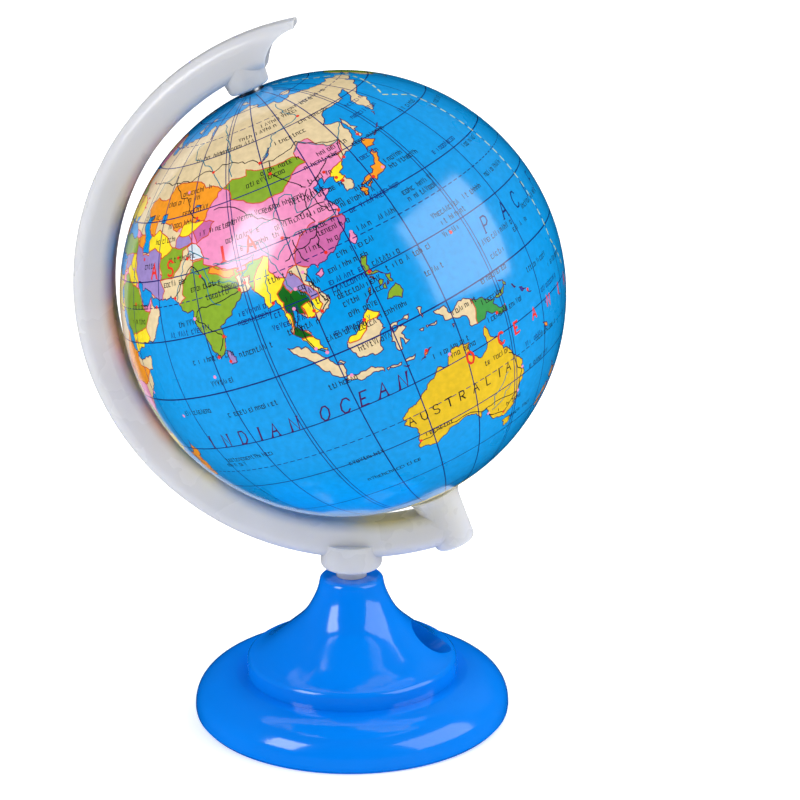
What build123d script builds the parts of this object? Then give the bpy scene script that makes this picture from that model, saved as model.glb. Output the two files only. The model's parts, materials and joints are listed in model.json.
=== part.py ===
from build123d import *
import math
import os

# Desktop globe on a stand, with a pencil sharpener inside the base.
# Origin: centre of the base's underside, on the base's axis. +Z up.
# The arm lies in the XZ plane with its back towards -X, so the north pole leans towards -X.

# ---- driving dimensions, millimetres and degrees ----
GLOBE_RADIUS = 42.5
MAP_THICKNESS = 0.2
BALL_WALL = 1.2
TILT = 23.5
GLOBE_CENTRE = (-1.2, 0, 86.0)
GORE_COUNT = 6
GORE_SEAM_LONGITUDE = 30.0  # a seam lies on this meridian and every 60 degrees from it
LONGITUDE_AT_LOCAL_X = 192.4  # east longitude that points along the ball's own +X at rest
GORE_GAP = 0.06  # degrees left open at each seam

PIN_RADIUS = 2.0
PIN_INNER_END = 36.5  # distances along the ball's axis from its centre
PIN_OUTER_END = 48.5
RUNNING_CLEARANCE = 0.05
BUSH_RADIUS = 3.4
BUSH_FLANGE_RADIUS = 5.2
BUSH_FLANGE_THICKNESS = 1.2
POLE_PAD_RADIUS = 5.6
POLE_PAD_FACE = 39.6
EQUATOR_LIP_THICKNESS = 0.7
EQUATOR_LIP_HEIGHT = 2.4

ARM_WIDTH = 8.4
ARM_OUTER_RADIUS = 53.4
ARM_INNER_RADIUS = 46.3
ARM_OUTER_SHIFT = (1.7, 0.3)  # centre of the outer edge's circle, from the globe's centre
ARM_INNER_SHIFT = (2.1, 0.6)
ARM_OUTER_ROUND = 2.6
ARM_INNER_ROUND = 2.0
HORN_TIP_X = -9.8
HORN_TIP_THICKNESS = 1.3
HORN_ROOT_X = -15.2
HORN_HOLLOW_POINT = (-13.7, 134.6)
NORTH_BOSS_TIP = 43.1
NORTH_BOSS_RADIUS = 4.2
NORTH_BOSS_TIP_RADIUS = 3.9
SOUTH_LIP_FACE = 43.3
SOUTH_LIP_RADIUS = 5.7
SOUTH_BOSS_RADIUS = 4.55
SOUTH_BOSS_END_RADIUS = 4.0
SOUTH_BOSS_END = 54.8
BOSS_EDGE_ROUND = 0.8

COLLAR_RADIUS = 6.05
COLLAR_BOTTOM = 30.5
COLLAR_TOP = 36.0
STUB_RADIUS = 3.0
STUB_SHOULDER = 24.0
STUB_TAIL_RADIUS = 2.0
STUB_END = 19.3

NECK_TOP = 28.5
NECK_SEAT = 23.95
NECK_LEDGE = 19.6
RIM_RADIUS = 30.65
WIDEST_RADIUS = 31.4
WIDEST_HEIGHT = 1.4
STEP_RADIUS = 21.0
STEP_FOOT = 8.4
STEP_TOP = 11.6
DOME_POWER = 2.4  # superellipse exponent of the dome
WALL = 1.6
LID_OPENING_RADIUS = 28.4

LEDGE_INNER_RADIUS = 26.2
LEDGE_BOTTOM = 1.2
LEDGE_TOP = 2.4
LEDGE_ARC = 50.0
LUG_COUNT = 3
LUG_ARC = 36.0
LID_RADIUS = 28.1
LID_RING_RADIUS = 25.9
LID_RING_TOP = 3.9
LUG_BOTTOM = 2.7
LID_UNDERSIDE = 0.3
LID_PLATE_TOP = 1.5
FINGER_DISH_RADIUS = 11.5
FINGER_DISH_ROOF = 1.2
FINGER_DISH_TOP = 2.2
FINGER_BAR = (20.0, 3.2)

PORT_POINT = (14.2, 1.0, 14.0)  # where the port's axis passes the base's surface
PORT_ELEVATION = 32.0
PORT_AZIMUTH = 15.0
PORT_RADIUS = 4.6
PORT_SLEEVE_RADIUS = 5.9
PORT_DEPTH = 3.2  # from the surface point back to the sharpener's mouth
SHARPENER_LENGTH = 16.0
SHARPENER_WIDTH = 10.4
SHARPENER_TOP = 4.6
SHARPENER_MOUTH_DEPTH = 4.6
SHARPENER_TAIL_DEPTH = 1.6
PENCIL_BORE_RADIUS = 4.0
PENCIL_BORE_LENGTH = 3.0
CONE_END_RADIUS = 1.0
BLADE = (13.5, 5.4, 0.5)
BLADE_EDGE_PAST_AXIS = 0.4
SCREW_OFFSET = -3.7
SCREW_STATION = -8.5
SCREW_RADIUS = 0.8
SCREW_HEAD_RADIUS = 1.4
SCREW_HEAD_HEIGHT = 1.0
SCREW_LENGTH = 4.0

WASHER_RADIUS = 4.6
WASHER_THICKNESS = 1.1
STUB_SCREW_RADIUS = 1.2
STUB_SCREW_LENGTH = 6.5
STUB_SCREW_HEAD_RADIUS = 2.9
STUB_SCREW_HEAD_HEIGHT = 1.6


# ---- helpers ----
def profile_face(edges):
    """Closed face from edges drawn as (radius or x, height) in the XZ plane."""
    return make_face([Plane.XZ * edge for edge in edges])


def turned(points):
    """Solid of revolution about Z from a closed polygon of (radius, height) points."""
    return revolve(make_face(Plane.XZ * Polyline(*points, close=True)), Axis.Z)


def sector(radius, bottom, top, arc, centre_angle):
    """Pie-shaped slab, used to keep only part of a ring."""
    wedge = revolve(
        make_face(Plane.XZ * Polyline((0, bottom), (radius, bottom), (radius, top), (0, top), close=True)),
        Axis.Z,
        revolution_arc=arc,
    )
    return Rot(0, 0, centre_angle - arc / 2) * wedge


def to_ball_axis(shape):
    """From the ball's own frame, axis along Z, to the tilted place on the stand."""
    return Location(GLOBE_CENTRE) * Rot(0, -TILT, 0) * shape


def sphere_radius_at(height, radius):
    return math.sqrt(radius * radius - height * height)


# ---- ball ----
def hemisphere(sign):
    outer = GLOBE_RADIUS - MAP_THICKNESS
    inner = outer - BALL_WALL
    shell = Sphere(outer) - Sphere(inner)
    pad = Pos(0, 0, POLE_PAD_FACE + outer / 2) * Cylinder(POLE_PAD_RADIUS, outer)
    shell += pad & Sphere(outer)
    half = Pos(0, 0, outer) * Box(4 * outer, 4 * outer, 2 * outer)
    shell = shell & half
    shell -= Pos(0, 0, outer) * Cylinder(BUSH_RADIUS, outer)
    if sign > 0:
        return to_ball_axis(shell)
    lip_outer = sphere_radius_at(EQUATOR_LIP_HEIGHT, inner) - RUNNING_CLEARANCE
    lip = turned(
        [
            (lip_outer - EQUATOR_LIP_THICKNESS, -EQUATOR_LIP_HEIGHT),
            (lip_outer, -EQUATOR_LIP_HEIGHT),
            (lip_outer, EQUATOR_LIP_HEIGHT),
            (lip_outer - EQUATOR_LIP_THICKNESS, EQUATOR_LIP_HEIGHT),
        ]
    )
    root = turned(
        [
            (lip_outer - EQUATOR_LIP_THICKNESS, 0),
            (inner + BALL_WALL / 2, 0),
            (inner + BALL_WALL / 2, EQUATOR_LIP_HEIGHT),
            (lip_outer - EQUATOR_LIP_THICKNESS, EQUATOR_LIP_HEIGHT),
        ]
    )
    return to_ball_axis(Rot(180, 0, 0) * (shell + root + lip))


def bush(sign):
    top = GLOBE_RADIUS - MAP_THICKNESS - 0.3
    bottom = POLE_PAD_FACE - BUSH_FLANGE_THICKNESS
    bore = PIN_RADIUS + RUNNING_CLEARANCE
    part = turned(
        [
            (bore, bottom),
            (BUSH_FLANGE_RADIUS, bottom),
            (BUSH_FLANGE_RADIUS, POLE_PAD_FACE),
            (BUSH_RADIUS, POLE_PAD_FACE),
            (BUSH_RADIUS, top),
            (bore, top),
        ]
    )
    return to_ball_axis(part if sign > 0 else Rot(180, 0, 0) * part)


def map_gore(index):
    """One lens-shaped strip of the printed map, from pole hole to pole hole."""
    outer, inner = GLOBE_RADIUS, GLOBE_RADIUS - MAP_THICKNESS
    end = math.degrees(math.acos((BUSH_RADIUS + MAP_THICKNESS) / outer))
    arc = 360 / GORE_COUNT - 2 * GORE_GAP

    def point(radius, latitude):
        a = math.radians(latitude)
        return (radius * math.cos(a), radius * math.sin(a))

    strip = profile_face(
        [
            ThreePointArc(point(outer, -end), point(outer, 0), point(outer, end)),
            Line(point(outer, end), point(inner, end)),
            ThreePointArc(point(inner, end), point(inner, 0), point(inner, -end)),
            Line(point(inner, -end), point(outer, -end)),
        ]
    )
    start = GORE_SEAM_LONGITUDE + 360 / GORE_COUNT * index - LONGITUDE_AT_LOCAL_X + GORE_GAP
    return to_ball_axis(Rot(0, 0, start) * revolve(strip, Axis.Z, revolution_arc=arc))


def pin(sign):
    length = PIN_OUTER_END - PIN_INNER_END
    body = Pos(0, 0, PIN_INNER_END + length / 2) * Cylinder(PIN_RADIUS, length)
    body = chamfer(body.edges(), 0.3)
    return to_ball_axis(body if sign > 0 else Rot(180, 0, 0) * body)


# ---- arm ----
def circle_point(shift, radius, x, side):
    """Point at x on one of the arm's two circles; side is +1 above the centre, -1 below."""
    cx, cz = GLOBE_CENTRE[0] + shift[0], GLOBE_CENTRE[2] + shift[1]
    return (x, cz + side * sphere_radius_at(x - cx, radius))


def circle_left(shift, radius):
    return (GLOBE_CENTRE[0] + shift[0] - radius, GLOBE_CENTRE[2] + shift[1])


def rounded_disc(shift, inner_radius, outer_radius, corner):
    """Disc or ring about the Y direction with rounded corners on one edge."""
    half = ARM_WIDTH / 2
    centre = Location((GLOBE_CENTRE[0] + shift[0], 0, GLOBE_CENTRE[2] + shift[1]))
    if inner_radius == 0:
        section = Pos(outer_radius / 2, 0) * Rectangle(outer_radius, 2 * half)
        corners = section.vertices().sort_by(Axis.X)[-2:]
    else:
        middle = (inner_radius + outer_radius) / 2
        section = Pos(middle, 0) * Rectangle(outer_radius - inner_radius, 2 * half)
        corners = section.vertices().sort_by(Axis.X)[:2]
    section = fillet(corners, corner)
    return centre * revolve(section, Axis.Y)


def arm_bar():
    tip_top = circle_point(ARM_OUTER_SHIFT, ARM_OUTER_RADIUS, HORN_TIP_X, 1)
    tip_low = (HORN_TIP_X, tip_top[1] - HORN_TIP_THICKNESS)
    root = circle_point(ARM_INNER_SHIFT, ARM_INNER_RADIUS, HORN_ROOT_X, 1)
    south = math.radians(TILT)
    foot_outer_x = GLOBE_CENTRE[0] + ARM_OUTER_RADIUS * math.sin(south)
    foot_inner_x = GLOBE_CENTRE[0] + ARM_INNER_RADIUS * math.sin(south)
    foot_outer = circle_point(ARM_OUTER_SHIFT, ARM_OUTER_RADIUS, foot_outer_x, -1)
    foot_inner = circle_point(ARM_INNER_SHIFT, ARM_INNER_RADIUS, foot_inner_x, -1)
    outline = profile_face(
        [
            ThreePointArc(tip_top, circle_left(ARM_OUTER_SHIFT, ARM_OUTER_RADIUS), foot_outer),
            Line(foot_outer, foot_inner),
            ThreePointArc(foot_inner, circle_left(ARM_INNER_SHIFT, ARM_INNER_RADIUS), root),
            ThreePointArc(root, HORN_HOLLOW_POINT, tip_low),
            Line(tip_low, tip_top),
        ]
    )
    slab = extrude(outline, amount=ARM_WIDTH / 2, both=True)
    slab = slab & rounded_disc(ARM_OUTER_SHIFT, 0, ARM_OUTER_RADIUS, ARM_OUTER_ROUND)
    ring_outer = ARM_OUTER_RADIUS + ARM_WIDTH
    return slab & rounded_disc(ARM_INNER_SHIFT, ARM_INNER_RADIUS, ring_outer, ARM_INNER_ROUND)


def north_boss():
    top = PIN_OUTER_END + 1.5
    boss = turned(
        [
            (0, NORTH_BOSS_TIP),
            (NORTH_BOSS_TIP_RADIUS, NORTH_BOSS_TIP),
            (NORTH_BOSS_RADIUS, NORTH_BOSS_TIP + 2.4),
            (NORTH_BOSS_RADIUS, top),
            (0, top),
        ]
    )
    tip = boss.edges().filter_by(GeomType.CIRCLE).sort_by(Axis.Z)[0]
    return to_ball_axis(fillet(tip, BOSS_EDGE_ROUND))


def south_boss():
    lip = ThreePointArc(
        (SOUTH_LIP_RADIUS, -SOUTH_LIP_FACE),
        (SOUTH_BOSS_RADIUS + 0.35, -SOUTH_LIP_FACE - 1.1),
        (SOUTH_BOSS_RADIUS, -SOUTH_LIP_FACE - 2.4),
    )
    face = profile_face(
        [
            Line((0, -SOUTH_LIP_FACE), (SOUTH_LIP_RADIUS, -SOUTH_LIP_FACE)),
            lip,
            Line(
                (SOUTH_BOSS_RADIUS, -SOUTH_LIP_FACE - 2.4),
                (SOUTH_BOSS_END_RADIUS, -SOUTH_BOSS_END),
            ),
            Line((SOUTH_BOSS_END_RADIUS, -SOUTH_BOSS_END), (0, -SOUTH_BOSS_END)),
            Line((0, -SOUTH_BOSS_END), (0, -SOUTH_LIP_FACE)),
        ]
    )
    boss = revolve(face, Axis.Z)
    end = boss.edges().filter_by(GeomType.CIRCLE).sort_by(Axis.Z)[0]
    return to_ball_axis(fillet(end, BOSS_EDGE_ROUND))


def collar_and_stub():
    collar = turned(
        [
            (0, COLLAR_BOTTOM),
            (COLLAR_RADIUS, COLLAR_BOTTOM),
            (COLLAR_RADIUS, COLLAR_TOP),
            (0, COLLAR_TOP),
        ]
    )
    low_edge = collar.edges().filter_by(GeomType.CIRCLE).sort_by(Axis.Z)[0]
    collar = fillet(low_edge, 1.0)
    room = ARM_OUTER_RADIUS - ARM_INNER_RADIUS
    inside = Location((GLOBE_CENTRE[0] + ARM_INNER_SHIFT[0], 0, GLOBE_CENTRE[2] + ARM_INNER_SHIFT[1]))
    hollow = inside * Rot(90, 0, 0) * Cylinder(ARM_INNER_RADIUS + room / 2, 4 * COLLAR_RADIUS)
    stub = turned(
        [
            (0, STUB_END),
            (STUB_TAIL_RADIUS, STUB_END),
            (STUB_TAIL_RADIUS, STUB_SHOULDER),
            (STUB_RADIUS, STUB_SHOULDER),
            (STUB_RADIUS, COLLAR_BOTTOM + 1),
            (0, COLLAR_BOTTOM + 1),
        ]
    )
    return (collar - hollow) + stub


def arm():
    body = arm_bar() + north_boss() + south_boss() + collar_and_stub()
    hole = Pos(0, 0, (PIN_OUTER_END + PIN_INNER_END) / 2) * Cylinder(
        PIN_RADIUS, PIN_OUTER_END - PIN_INNER_END
    )
    body -= to_ball_axis(hole)
    body -= to_ball_axis(Rot(180, 0, 0) * hole)
    body -= Pos(0, 0, STUB_END + STUB_SCREW_LENGTH / 2) * Cylinder(STUB_SCREW_RADIUS, STUB_SCREW_LENGTH)
    return body


# ---- base ----
def dome_point(share):
    """Point on the dome's superellipse; share runs from 0 at the widest place to 1 at the step's foot."""
    angle = share * math.pi / 2
    r = STEP_RADIUS + (WIDEST_RADIUS - STEP_RADIUS) * math.cos(angle) ** (2 / DOME_POWER)
    z = WIDEST_HEIGHT + (STEP_FOOT - WIDEST_HEIGHT) * math.sin(angle) ** (2 / DOME_POWER)
    return (r, z)


TRUMPET = [(20.3, 12.0), (17.9, 13.0), (15.0, 15.2), (12.2, 17.6), (9.5, 20.3), (8.0, 22.7), (6.9, 25.2), (6.35, 27.4)]
TRUMPET_INSIDE = [(19.3, 10.2), (17.0, 11.4), (14.0, 13.9), (11.1, 16.5), (8.3, 19.3)]
DOME_INSIDE = [(LID_OPENING_RADIUS, 4.3), (27.5, 5.3), (26.0, 6.0), (23.0, 6.6), (19.4, 6.8)]


def base_outside():
    dome = [dome_point(k / 8) for k in range(9)]
    return [
        Line((RIM_RADIUS, 0), (WIDEST_RADIUS - 0.1, WIDEST_HEIGHT * 0.55)),
        Line((WIDEST_RADIUS - 0.1, WIDEST_HEIGHT * 0.55), dome[0]),
        Spline(*dome, tangents=[(0, 1), (-1, 0)]),
        Line((STEP_RADIUS, STEP_FOOT), (STEP_RADIUS - 0.1, STEP_TOP - 0.5)),
        ThreePointArc((STEP_RADIUS - 0.1, STEP_TOP - 0.5), (STEP_RADIUS - 0.35, STEP_TOP + 0.1), TRUMPET[0]),
        Spline(*TRUMPET),
        ThreePointArc(TRUMPET[-1], (6.0, 28.2), (5.2, NECK_TOP)),
    ]


def base_solid():
    """The base's outer form, filled."""
    closing = [Line((5.2, NECK_TOP), (0, NECK_TOP)), Line((0, NECK_TOP), (0, 0)), Line((0, 0), (RIM_RADIUS, 0))]
    return revolve(profile_face(base_outside() + closing), Axis.Z)


def base_turned_shell():
    bore = STUB_RADIUS + RUNNING_CLEARANCE
    tail = STUB_TAIL_RADIUS + RUNNING_CLEARANCE
    inside = [
        Line((5.2, NECK_TOP), (bore, NECK_TOP)),
        Line((bore, NECK_TOP), (bore, NECK_SEAT)),
        Line((bore, NECK_SEAT), (tail, NECK_SEAT)),
        Line((tail, NECK_SEAT), (tail, NECK_LEDGE)),
        Line((tail, NECK_LEDGE), (7.9, NECK_LEDGE)),
        Line((7.9, NECK_LEDGE), TRUMPET_INSIDE[-1]),
        Spline(*reversed(TRUMPET_INSIDE)),
        Line(TRUMPET_INSIDE[0], DOME_INSIDE[-1]),
        Spline(*reversed(DOME_INSIDE)),
        Line(DOME_INSIDE[0], (LID_OPENING_RADIUS, 0)),
        Line((LID_OPENING_RADIUS, 0), (RIM_RADIUS, 0)),
    ]
    return revolve(profile_face(base_outside() + inside), Axis.Z)


def port_frame(setback):
    """Plane with its x along the way the pencil leaves and its z on the upper side."""
    a, b = math.radians(PORT_ELEVATION), math.radians(PORT_AZIMUTH)
    out = Vector(math.cos(a) * math.cos(b), math.cos(a) * math.sin(b), math.sin(a))
    up = Vector(-math.sin(a) * math.cos(b), -math.sin(a) * math.sin(b), math.cos(a))
    return Plane(origin=Vector(*PORT_POINT) - out * setback, x_dir=out, z_dir=up)


def along_port(radius, start, end):
    """Cylinder on the port's axis between two stations measured from the sharpener's mouth."""
    rod = Pos((start + end) / 2, 0, 0) * Rot(0, 90, 0) * Cylinder(radius, end - start)
    return port_frame(PORT_DEPTH) * rod


def ledges():
    ring = turned(
        [
            (LEDGE_INNER_RADIUS, LEDGE_BOTTOM),
            (LID_OPENING_RADIUS + 0.5, LEDGE_BOTTOM),
            (LID_OPENING_RADIUS + 0.5, LEDGE_TOP),
            (LEDGE_INNER_RADIUS, LEDGE_TOP),
        ]
    )
    reach = 2 * LID_RADIUS
    arcs = [sector(reach, 0, LEDGE_TOP + 1, LEDGE_ARC, 360 / LUG_COUNT * k) for k in range(LUG_COUNT)]
    return [ring & arc for arc in arcs]


def base_shell():
    shell = base_turned_shell()
    sleeve = along_port(PORT_SLEEVE_RADIUS, 0, 14) & base_solid()
    shell += sleeve
    shell -= along_port(PORT_RADIUS, 0, 40)
    for ledge in ledges():
        shell += ledge
    return shell


# ---- sharpener ----
def blade_slope():
    return math.degrees(math.atan2(SHARPENER_MOUTH_DEPTH - SHARPENER_TAIL_DEPTH, SHARPENER_LENGTH))


def blade_plane():
    """Plane on the sharpener's sloping underside, z pointing away from the body."""
    start = Location((0, 0, -SHARPENER_MOUTH_DEPTH)) * Rot(0, blade_slope(), 0)
    return port_frame(PORT_DEPTH).location * start * Rot(180, 0, 0)


def sharpener_body():
    side = Plane.XZ * Polyline(
        (0, -SHARPENER_MOUTH_DEPTH),
        (0, SHARPENER_TOP),
        (-SHARPENER_LENGTH, SHARPENER_TOP - 0.8),
        (-SHARPENER_LENGTH, -SHARPENER_TAIL_DEPTH),
        close=True,
    )
    block = extrude(make_face(side), amount=SHARPENER_WIDTH / 2, both=True)
    block = fillet(block.edges().filter_by(Axis.Y).sort_by(Axis.Z)[-2:], 0.6)
    reach = SHARPENER_LENGTH + 1
    cone = Plane.XZ * Polyline(
        (1, 0),
        (1, PENCIL_BORE_RADIUS),
        (-PENCIL_BORE_LENGTH, PENCIL_BORE_RADIUS),
        (-SHARPENER_LENGTH, CONE_END_RADIUS),
        (-reach, CONE_END_RADIUS),
        (-reach, 0),
        close=True,
    )
    block -= revolve(make_face(cone), Axis.X)
    window_length = SHARPENER_LENGTH - PENCIL_BORE_LENGTH - 2.5
    middle = -PENCIL_BORE_LENGTH - 0.8 - window_length / 2
    block -= Pos(middle, -1.9, -3.0) * Box(window_length, 4.2, 6.0)
    body = port_frame(PORT_DEPTH) * block
    body -= blade_plane() * Pos(SCREW_STATION, SCREW_OFFSET, -SCREW_LENGTH / 2) * Cylinder(
        SCREW_RADIUS, SCREW_LENGTH
    )
    return body


def sharpener_blade():
    length, width, thickness = BLADE
    middle = BLADE_EDGE_PAST_AXIS - width / 2
    plate = Pos(SCREW_STATION, middle, thickness / 2) * Box(length, width, thickness)
    cutting = plate.edges().filter_by(Axis.X).sort_by(Axis.Y)[-2:].sort_by(Axis.Z)[-1]
    plate = chamfer(cutting, 0.4)
    plate -= Pos(SCREW_STATION, SCREW_OFFSET, 0) * Cylinder(SCREW_RADIUS, 4 * thickness)
    return blade_plane() * plate


def blade_screw():
    thickness = BLADE[2]
    shank_length = SCREW_LENGTH + thickness
    shank = Pos(0, 0, thickness - shank_length / 2) * Cylinder(SCREW_RADIUS, shank_length)
    head = Pos(0, 0, thickness + SCREW_HEAD_HEIGHT / 2) * Cylinder(SCREW_HEAD_RADIUS, SCREW_HEAD_HEIGHT)
    head = fillet(head.edges().sort_by(Axis.Z)[-1], 0.4)
    slot = Pos(0, 0, thickness + SCREW_HEAD_HEIGHT) * Box(4 * SCREW_HEAD_RADIUS, 0.5, 0.9)
    return blade_plane() * Pos(SCREW_STATION, SCREW_OFFSET, 0) * (shank + head - slot)


# ---- lid and the stub's fasteners ----
def shavings_lid():
    ring_inside = LID_RING_RADIUS - 1.5
    dish = FINGER_DISH_RADIUS
    plate = turned(
        [
            (0, FINGER_DISH_ROOF),
            (dish, FINGER_DISH_ROOF),
            (dish + 0.9, LID_UNDERSIDE),
            (LID_RADIUS, LID_UNDERSIDE),
            (LID_RADIUS, LEDGE_BOTTOM - 0.3),
            (LID_RING_RADIUS, LEDGE_BOTTOM - 0.3),
            (LID_RING_RADIUS, LID_RING_TOP),
            (ring_inside, LID_RING_TOP),
            (ring_inside, LID_PLATE_TOP),
            (dish + 1.5, LID_PLATE_TOP),
            (dish + 0.6, FINGER_DISH_TOP),
            (0, FINGER_DISH_TOP),
        ]
    )
    lug_ring = turned(
        [
            (LID_RING_RADIUS - 0.5, LUG_BOTTOM),
            (LID_RADIUS, LUG_BOTTOM),
            (LID_RADIUS, LID_RING_TOP),
            (LID_RING_RADIUS - 0.5, LID_RING_TOP),
        ]
    )
    for k in range(LUG_COUNT):
        plate += lug_ring & sector(2 * LID_RADIUS, 0, LID_RING_TOP + 1, LUG_ARC, 360 / LUG_COUNT * k)
    bar_length, bar_width = FINGER_BAR
    bar = Pos(0, 0, (FINGER_DISH_ROOF + 0.3) / 2) * Box(bar_length, bar_width, FINGER_DISH_ROOF + 0.3)
    bar = fillet(bar.edges().filter_by(Axis.Z), 1.2)
    return plate + bar


def stub_washer():
    ring = Pos(0, 0, STUB_END - WASHER_THICKNESS / 2) * Cylinder(WASHER_RADIUS, WASHER_THICKNESS)
    return ring - Pos(0, 0, STUB_END - WASHER_THICKNESS) * Cylinder(STUB_SCREW_RADIUS, 4 * WASHER_THICKNESS)


def stub_screw():
    seat = STUB_END - WASHER_THICKNESS
    length = WASHER_THICKNESS + STUB_SCREW_LENGTH
    shank = Pos(0, 0, seat + length / 2) * Cylinder(STUB_SCREW_RADIUS, length)
    head = Pos(0, 0, seat - STUB_SCREW_HEAD_HEIGHT / 2) * Cylinder(
        STUB_SCREW_HEAD_RADIUS, STUB_SCREW_HEAD_HEIGHT
    )
    head = fillet(head.edges().sort_by(Axis.Z)[0], 0.7)
    recess = Pos(0, 0, seat - STUB_SCREW_HEAD_HEIGHT) * (Box(3.2, 0.7, 1.6) + Box(0.7, 3.2, 1.6))
    return shank + head - recess


def main():
    nodes = {
        "base_shell": base_shell(),
        "shavings_lid": shavings_lid(),
        "sharpener_body": sharpener_body(),
        "sharpener_blade": sharpener_blade(),
        "blade_screw": blade_screw(),
        "arm": arm(),
        "stub_washer": stub_washer(),
        "stub_screw": stub_screw(),
        "north_pin": pin(1),
        "south_pin": pin(-1),
        "north_bush": bush(1),
        "south_bush": bush(-1),
        "north_hemisphere": hemisphere(1),
        "south_hemisphere": hemisphere(-1),
    }
    for index in range(GORE_COUNT):
        nodes[f"map_gore_{index + 1}"] = map_gore(index)
    os.makedirs("parts", exist_ok=True)
    for name, shape in nodes.items():
        export_step(shape, f"parts/{name}.step")


main()
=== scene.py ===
import json
import math
import random

import bpy
import numpy as np
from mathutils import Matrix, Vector
from mathutils.geometry import delaunay_2d_cdt


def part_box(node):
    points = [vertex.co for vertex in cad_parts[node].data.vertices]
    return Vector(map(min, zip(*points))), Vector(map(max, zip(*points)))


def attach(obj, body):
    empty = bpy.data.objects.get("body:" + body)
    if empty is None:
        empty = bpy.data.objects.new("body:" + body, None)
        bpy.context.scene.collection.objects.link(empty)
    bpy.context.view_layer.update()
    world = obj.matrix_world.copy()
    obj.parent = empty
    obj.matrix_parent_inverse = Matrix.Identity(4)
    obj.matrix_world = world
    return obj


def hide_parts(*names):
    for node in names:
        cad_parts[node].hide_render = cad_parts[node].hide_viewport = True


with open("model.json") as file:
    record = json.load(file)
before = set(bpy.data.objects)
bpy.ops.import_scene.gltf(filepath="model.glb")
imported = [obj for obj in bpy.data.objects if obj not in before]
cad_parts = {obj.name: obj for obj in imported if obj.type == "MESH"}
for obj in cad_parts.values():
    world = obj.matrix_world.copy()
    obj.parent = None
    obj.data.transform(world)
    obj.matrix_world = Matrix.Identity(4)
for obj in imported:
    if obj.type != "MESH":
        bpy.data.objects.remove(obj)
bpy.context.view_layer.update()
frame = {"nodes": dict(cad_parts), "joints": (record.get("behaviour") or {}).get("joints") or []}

# ---------------------------------------------------------------- the map, as given
# Each row is a colour or a kind, then "longitude,latitude" points in degrees, on as many lines as
# they need. East and north are positive, and a longitude may run past 180 so that an outline need
# not break there.

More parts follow.
